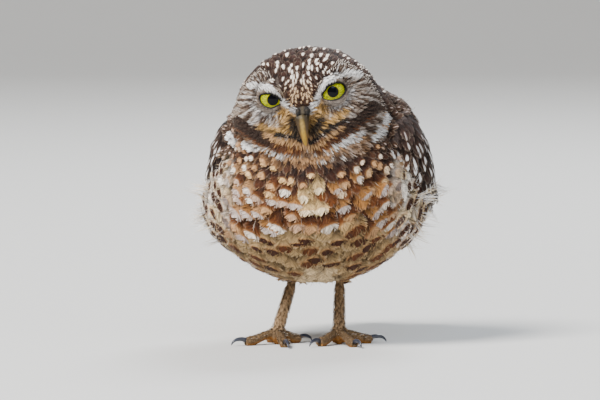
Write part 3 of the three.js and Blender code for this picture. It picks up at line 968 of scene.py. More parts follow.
def lie(points, normals, regions):
    """The way that feathers point at places on the skin."""
    away = unit(points - BILL)
    reach = np.linalg.norm(points - BILL, axis=1)[:, None]
    way = away + fade(reach, 35, 85) * 0.9 * unit(TAIL_POINT - points)
    face = part_of(regions, "head")[:, None]
    for eye in EYES.values():
        gap = np.linalg.norm(points - eye, axis=1)[:, None]
        way = way + face * 2.2 * fade(gap, 17, 9) * unit(points - eye)
    for side in ("left", "right"):
        here = part_of(regions, "wing_" + side)[:, None]
        outwards = 0.35 if side == "left" else -0.35
        droop = fade(points[:, 1:2], 25, -10) * np.array((outwards, 0, -1.3))
        way = np.where(here, unit(WING_TIP[side] - points) + droop, way)
    low = part_of(regions, "thigh", "tarsus")[:, None]
    way = np.where(low, np.array((0.0, 0.15, -1.0)), way)
    foot = part_of(regions, "toe", "foot")[:, None]
    way = np.where(foot, unit(points - nearest_foot(points)) + np.array((0, 0, -0.4)), way)
    return unit(way - (way * normals).sum(1)[:, None] * normals)


# Throws for each place that a feather may take, and steps in the path of one laid over the skin
THROWS = 7
PATH_STEPS = 5


def scatter(surface, spacing, wanted, seed):
    """Places spread evenly at random over the wanted part of a surface, at the given spacing."""
    rng = np.random.default_rng(seed)
    points, faces = surface["points"], surface["faces"]
    faces = faces[wanted[faces].all(axis=1)]
    corners = points[faces]
    area = np.linalg.norm(np.cross(corners[:, 1] - corners[:, 0], corners[:, 2] - corners[:, 0]), axis=1) / 2
    gap = spacing[faces].mean(axis=1)
    load = area / gap**2
    tries = int(load.sum() * THROWS)
    chosen = rng.choice(len(faces), tries, p=load / load.sum())
    a, b = rng.random(tries), rng.random(tries)
    flip = a + b > 1
    a, b = np.where(flip, 1 - a, a), np.where(flip, 1 - b, b)
    weights = np.column_stack((1 - a - b, a, b))[..., None]
    places = (corners[chosen] * weights).sum(1)
    tree = kdtree.KDTree(tries)
    for number, place in enumerate(places.tolist()):
        tree.insert(place, number)
    tree.balance()
    free = np.ones(tries, bool)
    kept = []
    gaps = gap[chosen]
    for number in range(tries):
        if free[number]:
            kept.append(number)
            for _, other, _ in tree.find_range(places[number], gaps[number]):
                free[other] = False
    normals = unit((surface["normals"][faces[chosen[kept]]] * weights[kept]).sum(1))
    regions = surface["regions"][faces[chosen[kept], 0]]
    return places[kept], normals, regions, gaps[kept]


def tree_of(surface):
    """A tree for finding the nearest place on a surface."""
    return BVHTree.FromPolygons(surface["points"].tolist(), surface["faces"].tolist())


def lay(surface, tree, roots, regions, lengths, steps, turn):
    """Paths over the skin from each root along the lie: points, normals and sides by step."""
    points, normals = [], []
    here = roots
    for _ in range(steps + 1):
        faces = []
        spots = []
        for place in here.tolist():
            spot, _, face, _ = tree.find_nearest(place)
            spots.append(spot)
            faces.append(face)
        spots = np.array(spots)
        normal = unit(surface["normals"][surface["faces"][faces]].mean(axis=1))
        way = lie(spots, normal, regions)
        way = way + np.cross(normal, way) * turn[:, None]
        points.append(spots)
        normals.append(normal)
        here = spots + unit(way) * (lengths / steps)[:, None]
    points = np.stack(points, 1)
    normals = np.stack(normals, 1)
    ways = np.gradient(points, axis=1)
    return points, normals, unit(np.cross(ways, normals))


def along(path, parts):
    """Points of each path at the given parts of its length."""
    steps = path.shape[1] - 1
    x = np.clip(parts, 0, 1) * steps
    low = np.minimum(x.astype(int), steps - 1)
    rest = (x - low)[..., None]
    rows = np.arange(len(path))[:, None]
    return path[rows, low] * (1 - rest) + path[rows, low + 1] * rest


def outline(parts, widest=0.62):
    """A vane's half width along its length: narrow at the root, bluntly rounded at the tip."""
    rise = 0.35 + 0.65 * fade(parts, 0.0, widest)
    past = np.clip((parts - widest) / (1 - widest), 0, 1)
    tip = np.clip(1 - past**2.4, 0, 1) ** (1 / 2.2)
    return np.where(parts < widest, rise, tip)


def vane_layout(barbs, pieces, gap, rake, start):
    """The plan of one feather: parts along, parts across and faces, the same for all of a coat."""
    side = np.array((-1, 1))[:, None, None, None]
    barb = np.arange(barbs)[None, :, None, None]
    edge = np.array((0, 1))[None, None, :, None]
    out = (np.arange(pieces + 1) / pieces)[None, None, None, :]
    base = start + (1 - rake - start) * (barb + edge) / barbs
    step = (1 - rake - start) / barbs
    parts = base + rake * out - step * gap * out**2 * (edge - 0.5) + 0 * side
    across = side * out + 0 * parts
    lines = np.arange(2 * barbs * 2 * (pieces + 1)).reshape(2, barbs, 2, pieces + 1)
    low, high = lines[:, :, 0], lines[:, :, 1]
    right = np.stack((low[1, :, :-1], low[1, :, 1:], high[1, :, 1:], high[1, :, :-1]), -1)
    left = np.stack((low[0, :, :-1], high[0, :, :-1], high[0, :, 1:], low[0, :, 1:]), -1)
    faces = [left.reshape(-1, 4), right.reshape(-1, 4)]
    if pieces == 2:
        last = high[:, -1]
        faces.append(np.array([[last[0, 0], last[1, 1], last[1, 2], last[0, 1]]]))
    return parts.ravel(), across.ravel(), np.concatenate(faces)


# How finely the vanes of each kind of feather are cut
BRISTLY = {"barbs": 3, "pieces": 1, "gap": 0.5, "rake": 0.3, "start": 0.05}
FINE = {"barbs": 5, "pieces": 1, "gap": 0.5, "rake": 0.3, "start": 0.05}
SMALL = {"barbs": 9, "pieces": 2, "gap": 0.3, "rake": 0.3, "start": 0.06}
BROAD = {"barbs": 26, "pieces": 2, "gap": 0.5, "rake": 0.36, "start": 0.06}
DOWNY = {"barbs": 28, "pieces": 2, "gap": 0.55, "rake": 0.4, "start": 0.06}


def feathers(name, paths, widths, lofts, plan, look, seed, lift=0.12, cup=0.16):
    """A joined mesh of feathers: barbed vanes along paths, rising from the skin to their loft."""
    rng = np.random.default_rng(seed)
    points, normals, sides = paths
    parts, across, faces = vane_layout(**plan)
    count, size = len(points), len(parts)
    ragged = rng.normal(0, 0.017, (count, size)) * np.abs(across)
    where = np.clip(parts[None, :] + ragged, 0, 1)
    half = widths[:, None] / 2 * outline(parts)[None, :]
    offset = across[None, :] * half * (1 + rng.normal(0, 0.09, (count, size)) * (np.abs(across) > 0.9))
    bend = rng.normal(0, 0.05, count)[:, None] * widths[:, None] * where**2
    height = lift + lofts[:, None] * where - cup * widths[:, None] * (across[None, :] ** 2) * 0.5
    height = height + rng.normal(0, 0.05, (count, 1)) * lofts[:, None]
    height = np.maximum(height, 0.03)
    grid = along(points, where) + along(sides, where) * (offset + bend)[..., None]
    grid = grid + along(normals, where) * height[..., None]
    grid[..., 2] = np.maximum(grid[..., 2], FLOOR_CLEARANCE)
    all_faces = (faces[None] + (np.arange(count) * size)[:, None, None]).reshape(-1, 4)
    flat = np.column_stack((np.tile(across * (0.15 + 0.35 * outline(parts)) + 0.5, count), where.ravel()))
    vane = np.column_stack((np.tile(across * outline(parts) * 0.5 + 0.5, count), where.ravel()))
    roots = unwrap(points[:, 0])
    bake = np.repeat(roots, size, axis=0) + TUFT_PATCH * (flat - 0.5)
    colours = {key: np.repeat(values, size, axis=0) for key, values in look.items()}
    return add_mesh(name, grid.reshape(-1, 3), all_faces, {"Vane": vane, "OFBake": bake}, colours)


# The part of a feather's length round which it shows past its neighbours
SEEN_PART = 0.84


def look_of(paths, regions, seed, vary=0.09):
    """Each feather's colours and mark, taken from where its tip lies."""
    rng = np.random.default_rng(seed)
    points, normals, _ = paths
    seen = np.full((len(points), 1), SEEN_PART)
    dice = rng.uniform(0.15, 0.85, len(points))
    ground, mark, shape = paint(along(points, seen)[:, 0], unit(along(normals, seen)[:, 0]), regions, dice)
    light = 1 + rng.normal(0, vary, (len(ground), 1))
    shape = shape.copy()
    shape[:, 1:3] *= 1 + rng.normal(0, 0.17, (len(ground), 2))
    low = fade(points[:, 0, 2], 88, 80)
    warmth = np.where(part_of(regions, "neck", "breast", "belly"), 0.4 + 0.3 * low, 0.12)
    return {
        "ground": np.column_stack((np.clip(ground * light, 0, 1), rng.random(len(ground)))),
        "mark": np.column_stack((np.clip(mark * (0.5 + light / 2), 0, 1), warmth)),
        "shape": shape,
    }


PLUMAGE = plumage_material("feather vanes")


def coat(name, surface, tree, wanted, spacing, stretch, spread, loft, plan, slot, seed,
         chance=1.0, proud=0.0, vary=0.09, **more):
    """Scatters, lays and colours one coat piece. Stretch and spread are in spacings.

    Only a share of the feathers, the chance, keep their marks, and those lie that much prouder.
    """
    roots, _, regions, gaps = scatter(surface, spacing, wanted, seed)
    rng = np.random.default_rng(seed + 500)
    marked = rng.random(len(roots)) < (chance(roots) if callable(chance) else chance)
    lengths = gaps * stretch * rng.uniform(0.88, 1.12, len(roots)) * np.where(marked, 1, 0.9)
    turn = rng.normal(0, 0.1, len(roots))
    paths = lay(surface, tree, roots, regions, lengths, PATH_STEPS, turn)
    look = look_of(paths, regions, seed, vary)
    look["shape"][:, 3] *= marked
    tips = paths[0][:, -1]
    widths = gaps * (spread(tips) if callable(spread) else spread) * rng.uniform(0.9, 1.1, len(roots))
    lofts = loft(tips, regions) if callable(loft) else np.full(len(roots), loft)
    lofts = lofts + proud * marked
    finished(feathers(name, paths, widths, lofts, plan, look, seed, **more), slot, PLUMAGE)


def body_spacing(body):
    """The gap between feather roots over the body, smallest on the face."""
    points, regions = body["points"], body["regions"]
    places = front_view(points)
    reach = np.linalg.norm(points - BILL, axis=1)
    trunk = to_trunk(points)
    front = fade(trunk[:, 1], 16, 6)
    trunk_gap = 4.9 + front * (1.3 * fade(places[:, 1], 84, 72) - 0.7)
    trunk_gap = trunk_gap - (trunk_gap - 2.2) * fade(places[:, 1], 92, 106) * front
    crown_gap = np.clip(1.6 + 0.075 * (reach - 12), 1.6, 3.1)
    crown_gap = crown_gap - (crown_gap - 1.2) * band(places, BROWS, 4.4, 3.0) * (points[:, 1] < 0)
    head_gap = np.where(disc_part(body), 1.15, crown_gap)
    gap = np.where(part_of(regions, "head"), head_gap, trunk_gap)
    gap = np.where(part_of(regions, "wing"), 3.5, gap)
    return np.where(part_of(regions, "thigh"), 2.6, gap)


def clear_of_eyes(points, nearest):
    """Which points lie further than that from both eyes' centres."""
    return np.all([np.linalg.norm(points - eye, axis=1) > nearest for eye in EYES.values()], axis=0)


def disc_part(body):
    """Which skin points belong to the face's disc and not to the crown."""
    head = to_head(body["points"])
    return (head[:, 2] < brow_height(head) + 1) & (head[:, 1] < -4) & part_of(body["regions"], "head")


def make_plumage(skin, lids):
    """All the body's feathers but those of the flight and tail rows."""
    body = joined([skin] + lids)
    tree = tree_of(body)
    lid_share = np.concatenate([np.full(len(skin["points"]), -1.0)] + [lid["share"] for lid in lids])
    points, regions = body["points"], body["regions"]
    gap = body_spacing(body)
    head = part_of(regions, "head")
    disc = disc_part(body)
    off_lids = (lid_share < 0) & clear_of_eyes(points, 8.0)
    open_face = (off_lids | (lid_share > 0.2)) & (np.linalg.norm(points - BILL, axis=1) > 3.6)
    rim = (lid_share > 0.08) & (lid_share < 0.7)
    under_gap = np.where(head, np.clip(gap * 0.55, 0.9, 1.5), 2.4)

    def depth(places, which):
        return coat_depth(places, which) - 0.3

    def wider_below(tips):
        return 1.45 + 0.6 * fade(front_view(tips)[:, 1], 88, 78)

    def thicker_in_front(roots):
        return 0.5 + 0.32 * fade(np.linalg.norm(roots - BILL, axis=1), 32, 24)

    def cover(name, where, seed, stretch, spread, plan, slot="brown_plumage", loft=depth, gaps=gap, **more):
        coat(name, body, tree, where, gaps, stretch, spread, loft, plan, slot, seed, **more)

    pale = "pale_plumage"
    cover("face_feathers", disc & open_face, 1, 6.2, 0.85, FINE, pale, gaps=gap * 0.68, vary=0.2)
    cover("lid_feathers", rim, 10, 4.0, 1.1, FINE, pale, 0.5, np.full(len(points), 0.55), lift=0.03)
    crown = head & ~disc & open_face
    cover("crown_feathers", crown, 2, 3.3, 1.4, SMALL, chance=thicker_in_front, proud=0.45)
    cover("under_feathers", ~disc & open_face, 11, 3.2, 1.4, FINE, loft=0.45, gaps=under_gap, chance=0)
    cover("neck_feathers", part_of(regions, "neck"), 3, 3.1, 1.5, BROAD, chance=0.7, proud=0.3)
    cover("breast_feathers", part_of(regions, "breast"), 4, 2.8, wider_below, BROAD, chance=0.8, proud=0.45)
    cover("belly_feathers", part_of(regions, "belly"), 5, 2.7, 1.9, DOWNY, pale, chance=0.78, proud=0.6)
    cover("back_feathers", part_of(regions, "back", "rump"), 6, 2.9, 1.5, BROAD, chance=0.65, proud=0.4)
    for side, seed in (("left", 7), ("right", 8)):
        wing = part_of(regions, "wing_" + side)
        cover("covert_feathers_" + side, wing, seed, 3.7, 1.6, BROAD, chance=0.7, proud=0.5)
    cover("thigh_feathers", part_of(regions, "thigh"), 9, 3.2, 1.6, DOWNY, pale)
    rng = np.random.default_rng(52)
    make_bristles(body, disc & open_face, rng)
    make_wisps(body, rng)
    make_gape(tree)
    make_cere_fringe(body)
    make_loose_barbs(skin)


def strands(name, starts, normals, ways, ends, lengths, widths, colours, slot):
    """A joined mesh of thin tapering strands that bend from their first way to their last."""
    parts = np.array((0, 0.3, 0.62, 1.0))[None, :, None]
    first, last = unit(ways)[:, None], unit(ends)[:, None]
    line = starts[:, None] + lengths[:, None, None] * (first * parts + (last - first) * parts**2 / 2)
    sides = unit(np.cross(last[:, 0] + first[:, 0], normals))[:, None]
    half = widths[:, None, None] / 2 * np.array((1, 0.85, 0.6, 0.12))[None, :, None]
    grid = np.stack((line - sides * half, line + sides * half), 2)
    grid[..., 2] = np.maximum(grid[..., 2], FLOOR_CLEARANCE)
    count = len(starts)
    plan = np.array([[0, 1, 3, 2], [2, 3, 5, 4], [4, 5, 7, 6]])
    faces = (plan[None] + 8 * np.arange(count)[:, None, None]).reshape(-1, 4)
    flat = np.array([(x, y) for y in (0.3, 0.55, 0.8, 1.0) for x in (0.2, 0.8)])
    flat = np.tile(flat, (count, 1))
    bake = np.repeat(unwrap(starts), 8, axis=0) + TUFT_PATCH * (flat - 0.5)
    rows = np.repeat(colours, 8, axis=0)
    shape = filled(NO_MARK, len(rows))
    piece = add_mesh(name, grid.reshape(-1, 3), faces, {"Vane": flat, "OFBake": bake},
                     {"ground": rows, "mark": rows, "shape": shape})
    return finished(piece, slot, PLUMAGE)


def picked(colours, count, seed):
    """One of several colours for each strand, at random, a little lighter or darker."""
    rng = np.random.default_rng(seed)
    choice = rng.integers(0, len(colours), count)
    return np.clip(np.array(colours)[choice] * (1 + rng.normal(0, 0.12, (count, 1))), 0, 1)


def shaken(rng, amount, count):
    """Small random steps, one for each strand."""
    return rng.normal(0, amount, (count, 3))


def make_bristles(body, face, rng):
    """Stiff golden bristles beside the bill."""
    points = body["points"]
    reach = np.linalg.norm(points - BILL, axis=1)
    head = to_head(points)
    places = front_view(points)
    hollow = (band(places, BILL_SHADOWS, 2.4, 1.0) > 0.3) | (band(places, BROWS, 2.4, 0.6) > 0.3)
    lores = face & (reach < 14) & (head[:, 2] < 12) & (np.abs(head[:, 0]) > 4.5) & ~hollow
    roots, normals, _, _ = scatter(body, np.full(len(points), 0.52), lores, 51)
    count = len(roots)
    down = from_head((0, 0, -1)) - from_head((0, 0, 0))
    away = unit(roots - BILL)
    ways = away * 0.7 + normals * 0.5 + down * 0.7 + shaken(rng, 0.18, count)
    ends = away * 0.9 + down * 0.5 + shaken(rng, 0.2, count)
    lengths = rng.uniform(4, 8.5, count)
    widths = rng.uniform(0.16, 0.28, count)
    # Some strands are painted dark, as the shade in the gaps between the bristles.
    colours = picked([OLIVE_GOLD, OLIVE_GOLD, BUFF, OLIVE_GOLD * 0.3, SHADE], count, 53)
    strands("bill_bristles", roots, normals, ways, ends, lengths, widths, colours, "pale_plumage")


def make_wisps(body, rng):
    """Loose bunches of white wisps standing out from the flanks."""
    points = body["points"]
    trunk = to_trunk(points)
    sides = (np.abs(trunk[:, 0] - WING_ASIDE) > 44) & (np.abs(trunk[:, 2] - 70) < 15)
    sides = sides & (trunk[:, 1] < 22) & (trunk[:, 1] > -14)
    roots, normals, _, _ = scatter(body, np.full(len(points), 4.2), sides, 54)
    bunches, strays = len(roots), 7
    lift = rng.uniform(-0.5, 0.8, bunches)[:, None] * np.array((0, 0, 1.0))
    ways = normals * 0.9 + np.array((0, 0.35, 0)) + lift + shaken(rng, 0.15, bunches)
    ends = normals * 0.6 + np.array((0, 0.45, 0)) + lift * 1.3 + shaken(rng, 0.2, bunches)
    reaches = np.repeat(rng.uniform(9, 17, bunches), strays)
    roots, normals, ways, ends = (np.repeat(a, strays, 0) for a in (roots, normals, ways, ends))
    count = bunches * strays
    roots = roots + shaken(rng, 0.8, count)
    ways = ways + shaken(rng, 0.07, count)
    ends = ends + shaken(rng, 0.1, count)
    lengths = reaches * rng.uniform(0.55, 1.1, count)
    widths = rng.uniform(0.22, 0.4, count)
    colours = picked([WHITE, WHITE, SPOT_WHITE, CREAM], count, 55)
    strands("flank_wisps", roots, normals, ways, ends, lengths, widths, colours, "pale_plumage")


def make_cere_fringe(body):
    """Short fine feathers from the brows and forehead that lap over the cere's upper edge."""
    head = to_head(body["points"])
    reach = np.linalg.norm(body["points"] - BILL, axis=1)
    wanted = part_of(body["regions"], "head") & (reach > 4.4) & (reach < 9) & (head[:, 2] > 8.5)
    roots, normals, regions, _ = scatter(body, np.full(len(body["points"]), 0.42), wanted, 91)
    count = len(roots)
    rng = np.random.default_rng(92)
    inwards = unit(from_head(CERE_SADDLE) - roots)
    ways = inwards + normals * 1.3 + shaken(rng, 0.2, count)
    ends = inwards + normals * 0.4 + shaken(rng, 0.2, count)
    ground = paint(roots, normals, regions, rng.uniform(0.15, 0.85, count))[0]
    colours = np.clip(ground * rng.uniform(0.8, 1.2, (count, 1)), 0, 0.9)
    lengths = rng.uniform(1.9, 3.4, count)
    widths = rng.uniform(0.16, 0.26, count)
    strands("cere_fringe", roots, normals, ways, ends, lengths, widths, colours, "pale_plumage")


def make_loose_barbs(body):
    """Fine loose barbs that stand a little off the vanes of the neck, breast and belly."""
    wanted = part_of(body["regions"], "neck", "breast", "belly", "back", "rump")
    roots, normals, regions, _ = scatter(body, np.full(len(body["points"]), 2.3), wanted, 81)
    count = len(roots)
    rng = np.random.default_rng(82)
    ways = lie(roots, normals, regions) + shaken(rng, 0.22, count)
    starts = roots + normals * (coat_depth(roots, regions) * 0.8)[:, None]
    ground, mark, shape = paint(starts + ways * 2, normals, regions, rng.uniform(0.15, 0.85, count))
    pale = (rng.random(count) < 0.3) & (shape[:, 3] > 0.3)
    colours = np.clip(np.where(pale[:, None], mark, ground) * rng.uniform(0.8, 1.3, (count, 1)), 0, 0.9)
    lengths = rng.uniform(2.5, 5, count)
    widths = rng.uniform(0.1, 0.18, count)
    ends = ways + normals * 0.02
    ways = ways + normals * 0.3
    strands("loose_barbs", starts, normals, ways, ends, lengths, widths, colours, "brown_plumage")


def make_gape(tree):
    """The shade in the mouth's slit under the bristles' edge, painted as fine dark feathers along it."""
    eye_point = drawing(AIM)
    eye_point = eye_point + np.array((0, -COS_RISE, SIN_RISE)) * CAMERA_DISTANCE / MM
    starts, normals, ways = [], [], []
    for path in MOUTH:
        corners = np.array(path, float)
        for begin, end in zip(corners[:-1], corners[1:]):
            for part in np.arange(0, 1, 0.12):
                across, up = begin + (end - begin) * part
                target = np.array((across, 0, VIEW_HEIGHT + (up - VIEW_HEIGHT * COS_RISE) / COS_RISE))
                spot, normal, _, _ = tree.ray_cast(Vector(eye_point), Vector(unit(target - eye_point)))
                starts.append(spot)
                normals.append(normal)
                ways.append((end[0] - begin[0], 0, end[1] - begin[1]))
    starts, normals, ways = np.array(starts), np.array(normals), unit(np.array(ways))
    normals = normals * -np.sign(normals[:, 1:2])
    ways = unit(ways - (ways * normals).sum(1)[:, None] * normals)
    rng = np.random.default_rng(71)
    copies = 4
    starts, normals, ways = (np.repeat(a, copies, 0) for a in (starts, normals, ways))
    count = len(starts)
    starts = starts + normals * rng.uniform(0.1, 0.75, count)[:, None] + shaken(rng, 0.33, count)
    ways = ways + shaken(rng, 0.5, count) + np.array((0, 0, -0.3))
    lengths = rng.uniform(1.0, 2.4, count)
    widths = 0.18 + 0.25 * fade(np.linalg.norm(starts - BILL, axis=1), 28, 14)
    colours = picked([SHADE, GAPE_SHADOW, GAPE_SHADOW], count, 72)
    strands("gape_feathers", starts, normals, ways, ways, lengths, widths, colours, "brown_plumage")


def make_leg_bristles(legs):
    """Short stiff feathers down the tarsi, fine ones and sparse bristles over the toes."""
    tree = tree_of(legs)
    points = legs["points"]
    tarsus = part_of(legs["regions"], "tarsus")
    top = ~tarsus & (legs["normals"][:, 2] > 0.1) & (points[:, 2] > 2.6)
    coat("leg_feathers", legs, tree, tarsus, np.full(len(points), 0.95), 4.4, 1.1, 1.15, BRISTLY,
         "leg_bristle", 61, lift=0.05)
    coat("toe_feathers", legs, tree, top, np.full(len(points), 0.9), 3.0, 1.1, 0.45, BRISTLY,
         "toe_skin", 65, lift=0.05, vary=0.2)
    roots, normals, _, _ = scatter(legs, np.full(len(points), 1.5), top, 62)
    count = len(roots)
    rng = np.random.default_rng(63)
    away = unit((roots - nearest_foot(roots)) * (1, 1, 0.3))
    ways = away + normals * 0.8 + shaken(rng, 0.2, count)
    ends = away + normals * 0.1
    lengths = rng.uniform(1.6, 3.0, count)
    widths = np.full(count, 0.2)
    colours = picked([LEG_BUFF, SPOT_WHITE], count, 64)
    strands("toe_bristles", roots, normals, ways, ends, lengths, widths, colours, "leg_bristle")


# The wings' long feathers and the tail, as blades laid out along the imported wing's own line
WING_PATH = [(41, -20, 109), (50, -8, 105), (53, 12, 96), (43, 36, 86), (28, 60, 69), (12, 93, 50)]
WING_HALF_CHORDS = [5, 20, 27, 25, 16, 4.5]
WING_LEANS = [0.15, 0.2, 0.35, 0.7, 1.2, 2]
WING_HALF_DEPTHS = [3, 5.8, 6.6, 6, 3.8, 1.2]
# The tail's middle line, and the height and fall of the surface that feathers over it keep above
TAIL_ROOT = np.array((0, 44, 72.0))
TAIL_TIP = np.array((0, 106, 37.0))
TAIL_COVER = 76
TAIL_FALL = 0.565
TAIL_COUNT = 12
# Ten primaries and eleven secondaries
FLIGHT_COUNT = 21
FLIGHT = plumage_material("barred vanes", bars=5.5, roughness=0.62)


def graded(values, part):
    """A value at a part of the way through evenly spaced values."""
    return np.interp(part, np.linspace(0, 1, len(values)), values)


def wing_place(side, part, chord_part, height):
    """A point over a wing's outer face, with its normal, by the way along and the way up its chord."""
    sign = 1 if side == "left" else -1
    raised = WING_RAISED[side]
    path = np.array([(sign * out + WING_ASIDE, back, high + raised) for out, back, high in WING_PATH])
    spot = np.stack([graded(path[:, axis], part) for axis in range(3)], -1)
    ahead = np.stack([graded(path[:, axis], part + 0.02) for axis in range(3)], -1)
    behind = np.stack([graded(path[:, axis], part - 0.02) for axis in range(3)], -1)
    way = unit(ahead - behind)
    up = np.stack((-sign * graded(WING_LEANS, part), 0 * part, 1 + 0 * part), -1)
    up = unit(up - (up * way).sum(-1)[..., None] * way)
    out = np.cross(way, up)
    out = out * np.sign(out[..., :1] * sign + out[..., 2:])
    depth = graded(WING_HALF_DEPTHS, part) * np.sqrt(np.clip(1 - chord_part**2, 0.05, 1))
    spot = spot + up * (chord_part * graded(WING_HALF_CHORDS, part))[..., None]
    return from_trunk(spot + out * (depth + height)[..., None]), from_trunk(out)


def blades(name, points, normals, widths, seed, stands_for=(), barbs=26, stagger=1.0, strength=0.8):
    """Long vanes along given paths, with bars across that each feather may carry at its own height."""
    count = len(points)
    ways = np.gradient(points, axis=1)
    paths = (points, normals, unit(np.cross(ways, normals)))
    rng = np.random.default_rng(seed)
    light = 1 + rng.normal(0, 0.05, (count, 1))
    look = {
        "ground": np.column_stack((filled(WING_BROWN, count) * light, stagger * rng.random(count))),
        "mark": filled((*CREAM, 0.2), count),
        "shape": filled((0.5, 0.15, 0.8, strength), count),
    }
    plan = {"barbs": barbs, "pieces": 2, "gap": 0.12, "rake": 0.08, "start": 0.0}
    piece = feathers(name, paths, widths, np.zeros(count), plan, look, seed, lift=0.1, cup=0.05)
    return finished(piece, "brown_plumage", FLIGHT, *stands_for)


def make_flight_rows():
    """The primaries and secondaries of each wing, the inner ones on top."""
    for side, seed in (("left", 31), ("right", 32)):
        share = np.arange(FLIGHT_COUNT) / (FLIGHT_COUNT - 1)
        first = 0.3 + 0.08 * share
        last = np.interp(share, (0, 0.35, 0.6, 1), (0.74, 0.86, 0.96, 1.02))
        steps = np.linspace(0, 1, 10)
        part = first[:, None] + (last - first)[:, None] * steps
        chord = np.interp(share, (0, 1), (0.82, -0.9))[:, None] * (1 - 0.25 * steps)
        sunk = 3.2 * (1 - fade(steps, 0.02, 0.34))
        height = (0.2 + 1.6 * (1 - share))[:, None] - sunk
        points, normals = wing_place(side, part, chord, height)
        widths = np.interp(share, (0, 0.5, 1), (12, 10, 8.5))
        node = "flight_feathers_" + side
        blades(node + "_vanes", points, normals, widths, seed, (node,))


def over_skin(tree, points, above):
    """Points raised where needed to lie at least that far over the skin below them, or over the tail."""
    raised = points.copy()
    for row in raised.reshape(-1, 3):
        spot, _, _, _ = tree.ray_cast(Vector((row[0], row[1], 200)), Vector((0, 0, -1)))
        back = to_trunk(row[None])[0, 1]
        floor = spot.z if spot else TAIL_COVER - TAIL_FALL * (back - TAIL_ROOT[1])
        row[2] = max(row[2], floor + above)
    return raised


# Where each row of scapulars begins and ends, as parts of the way from the shoulder to the wing's tip
SCAPULAR_TIERS = ((0.62, 1.0), (0.42, 0.8), (0.2, 0.6), (0.0, 0.38))


def make_scapulars(skin):
    """Overlapping rows from the shoulders back, over the hollow between each folded wing and the rump."""
    tree = tree_of(skin)
    share = np.linspace(0, 1, 8)[:, None]
    steps = np.linspace(0, 1, 9)
    inwards = share[..., None]
    for side, sign, seed in (("left", 1, 35), ("right", -1, 38)):
        paths, normals, widths = [], [], []
        for tier, (begin, end) in enumerate(SCAPULAR_TIERS):
            run = begin + (end - begin) * steps[None, :] + 0.0 * share
            reach = 0.8 - 0.75 * fade(run, 0.2, 0.7)
            outer, out = wing_place(side, 0.42 + 0.57 * run, reach, np.full(run.shape, 2.4))
            inner = np.stack((sign * (17 - 13 * run), 24 + 64 * run, 104 - 52 * run), -1)
            line = outer * (1 - inwards) + from_trunk(inner) * inwards
            line = over_skin(tree, line, 1.6 + 0.5 * tier)
            line[:, 1:-1] = (line[:, :-2] + line[:, 1:-1] * 2 + line[:, 2:]) / 4
            line[..., 2] -= 4.0 * (1 - fade(steps, 0.0, 0.3))
            paths.append(line)
            normals.append(unit(out * (1 - inwards) + np.array((0, 0.45, 0.9)) * (0.4 + inwards)))
            widths.append(np.interp(share[:, 0], (0, 1), (8.5, 7.5)) * (1 - 0.12 * (tier == 0)))
        paths, normals, widths = (np.concatenate(rows) for rows in (paths, normals, widths))
        blades("scapular_feathers_" + side, paths, normals, widths, seed, strength=0.5)


def make_tail():
    """Twelve tail feathers in a closed fan, the middle pair on top."""
    way = unit(TAIL_TIP - TAIL_ROOT)
    up = unit(np.cross(ACROSS, way))
    place = np.linspace(-1, 1, TAIL_COUNT)
    steps = np.linspace(0, 1, 8)
    aside = place[:, None] * (5 + 8.5 * steps)
    height = 2.2 - 5.0 * np.abs(place)[:, None] ** 1.5 + 0 * steps + 0.1 * np.sign(place)[:, None]
    length = (1 - 0.06 * np.abs(place))[:, None] * steps * np.linalg.norm(TAIL_TIP - TAIL_ROOT)
    points = TAIL_ROOT + way * length[..., None] + ACROSS * aside[..., None] + up * height[..., None]
    roll = 0.95 * place[:, None, None]
    normals = np.cos(roll) * up + np.sin(roll) * ACROSS + np.zeros_like(points)
    widths = np.full(TAIL_COUNT, 13.0)
    points, normals = from_trunk(points), from_trunk(normals)
    blades("tail_feathers", points, normals, widths, 41, ("tail",), barbs=30, stagger=0.0)


# Stage: each light's name, place, size, power and tint, in metres and watts, and where they all point
LIGHTS = (
    ("key", (-1.9, -2.1, 3.0), 1.4, 400, (1, 0.98, 0.95)),
    ("fill", (2.2, -2.0, 1.0), 2.0, 18, (0.95, 0.98, 1)),
    ("sky", (0.15, -2.0, 1.9), 1.1, 22, (0.62, 0.78, 1)),
    ("rim", (0.6, 1.6, 1.9), 1.0, 60, (0.9, 0.95, 1)),
)
LIT_PLACE = (0, 0, 0.08)


def make_stage():
    """Pale floor, soft lights and the world."""
    near, back, radius, top, half = 9000, 3000, 1500, 9000, 12000
    bend = np.linspace(0, math.pi / 2, 13)
    curve = [(back + radius * math.sin(angle), radius - radius * math.cos(angle)) for angle in bend]
    profile = [(-near, 0)] + curve + [(back + radius, top)]
    points = np.array([(x, y, z) for y, z in profile for x in (-half, half)], float)
    faces = np.array([(2 * i, 2 * i + 1, 2 * i + 3, 2 * i + 2) for i in range(len(profile) - 1)])
    floor = add_mesh("floor", points + MIDDLE, faces)
    material, _, surface = new_material("pale floor", 0.9)
    surface.inputs["Base Color"].default_value = (0.62, 0.61, 0.59, 1)
    floor.data.materials.append(material)
    for name, spot, size, power, tint in LIGHTS:
        light = bpy.data.lights.new(name, "AREA")
        light.size = size
        light.energy = power
        light.color = tint
        lamp = linked(name, light)
        lamp.location = spot
        lamp.rotation_euler = (Vector(LIT_PLACE) - Vector(spot)).to_track_quat("-Z", "Y").to_euler()
    world = bpy.data.worlds.new("studio")
    world.use_nodes = True
    backdrop = world.node_tree.nodes["Background"].inputs
    backdrop["Color"].default_value = (0.74, 0.78, 0.84, 1)
    backdrop["Strength"].default_value = 0.22
    bpy.context.scene.world = world


FILM_WIDTH = 36


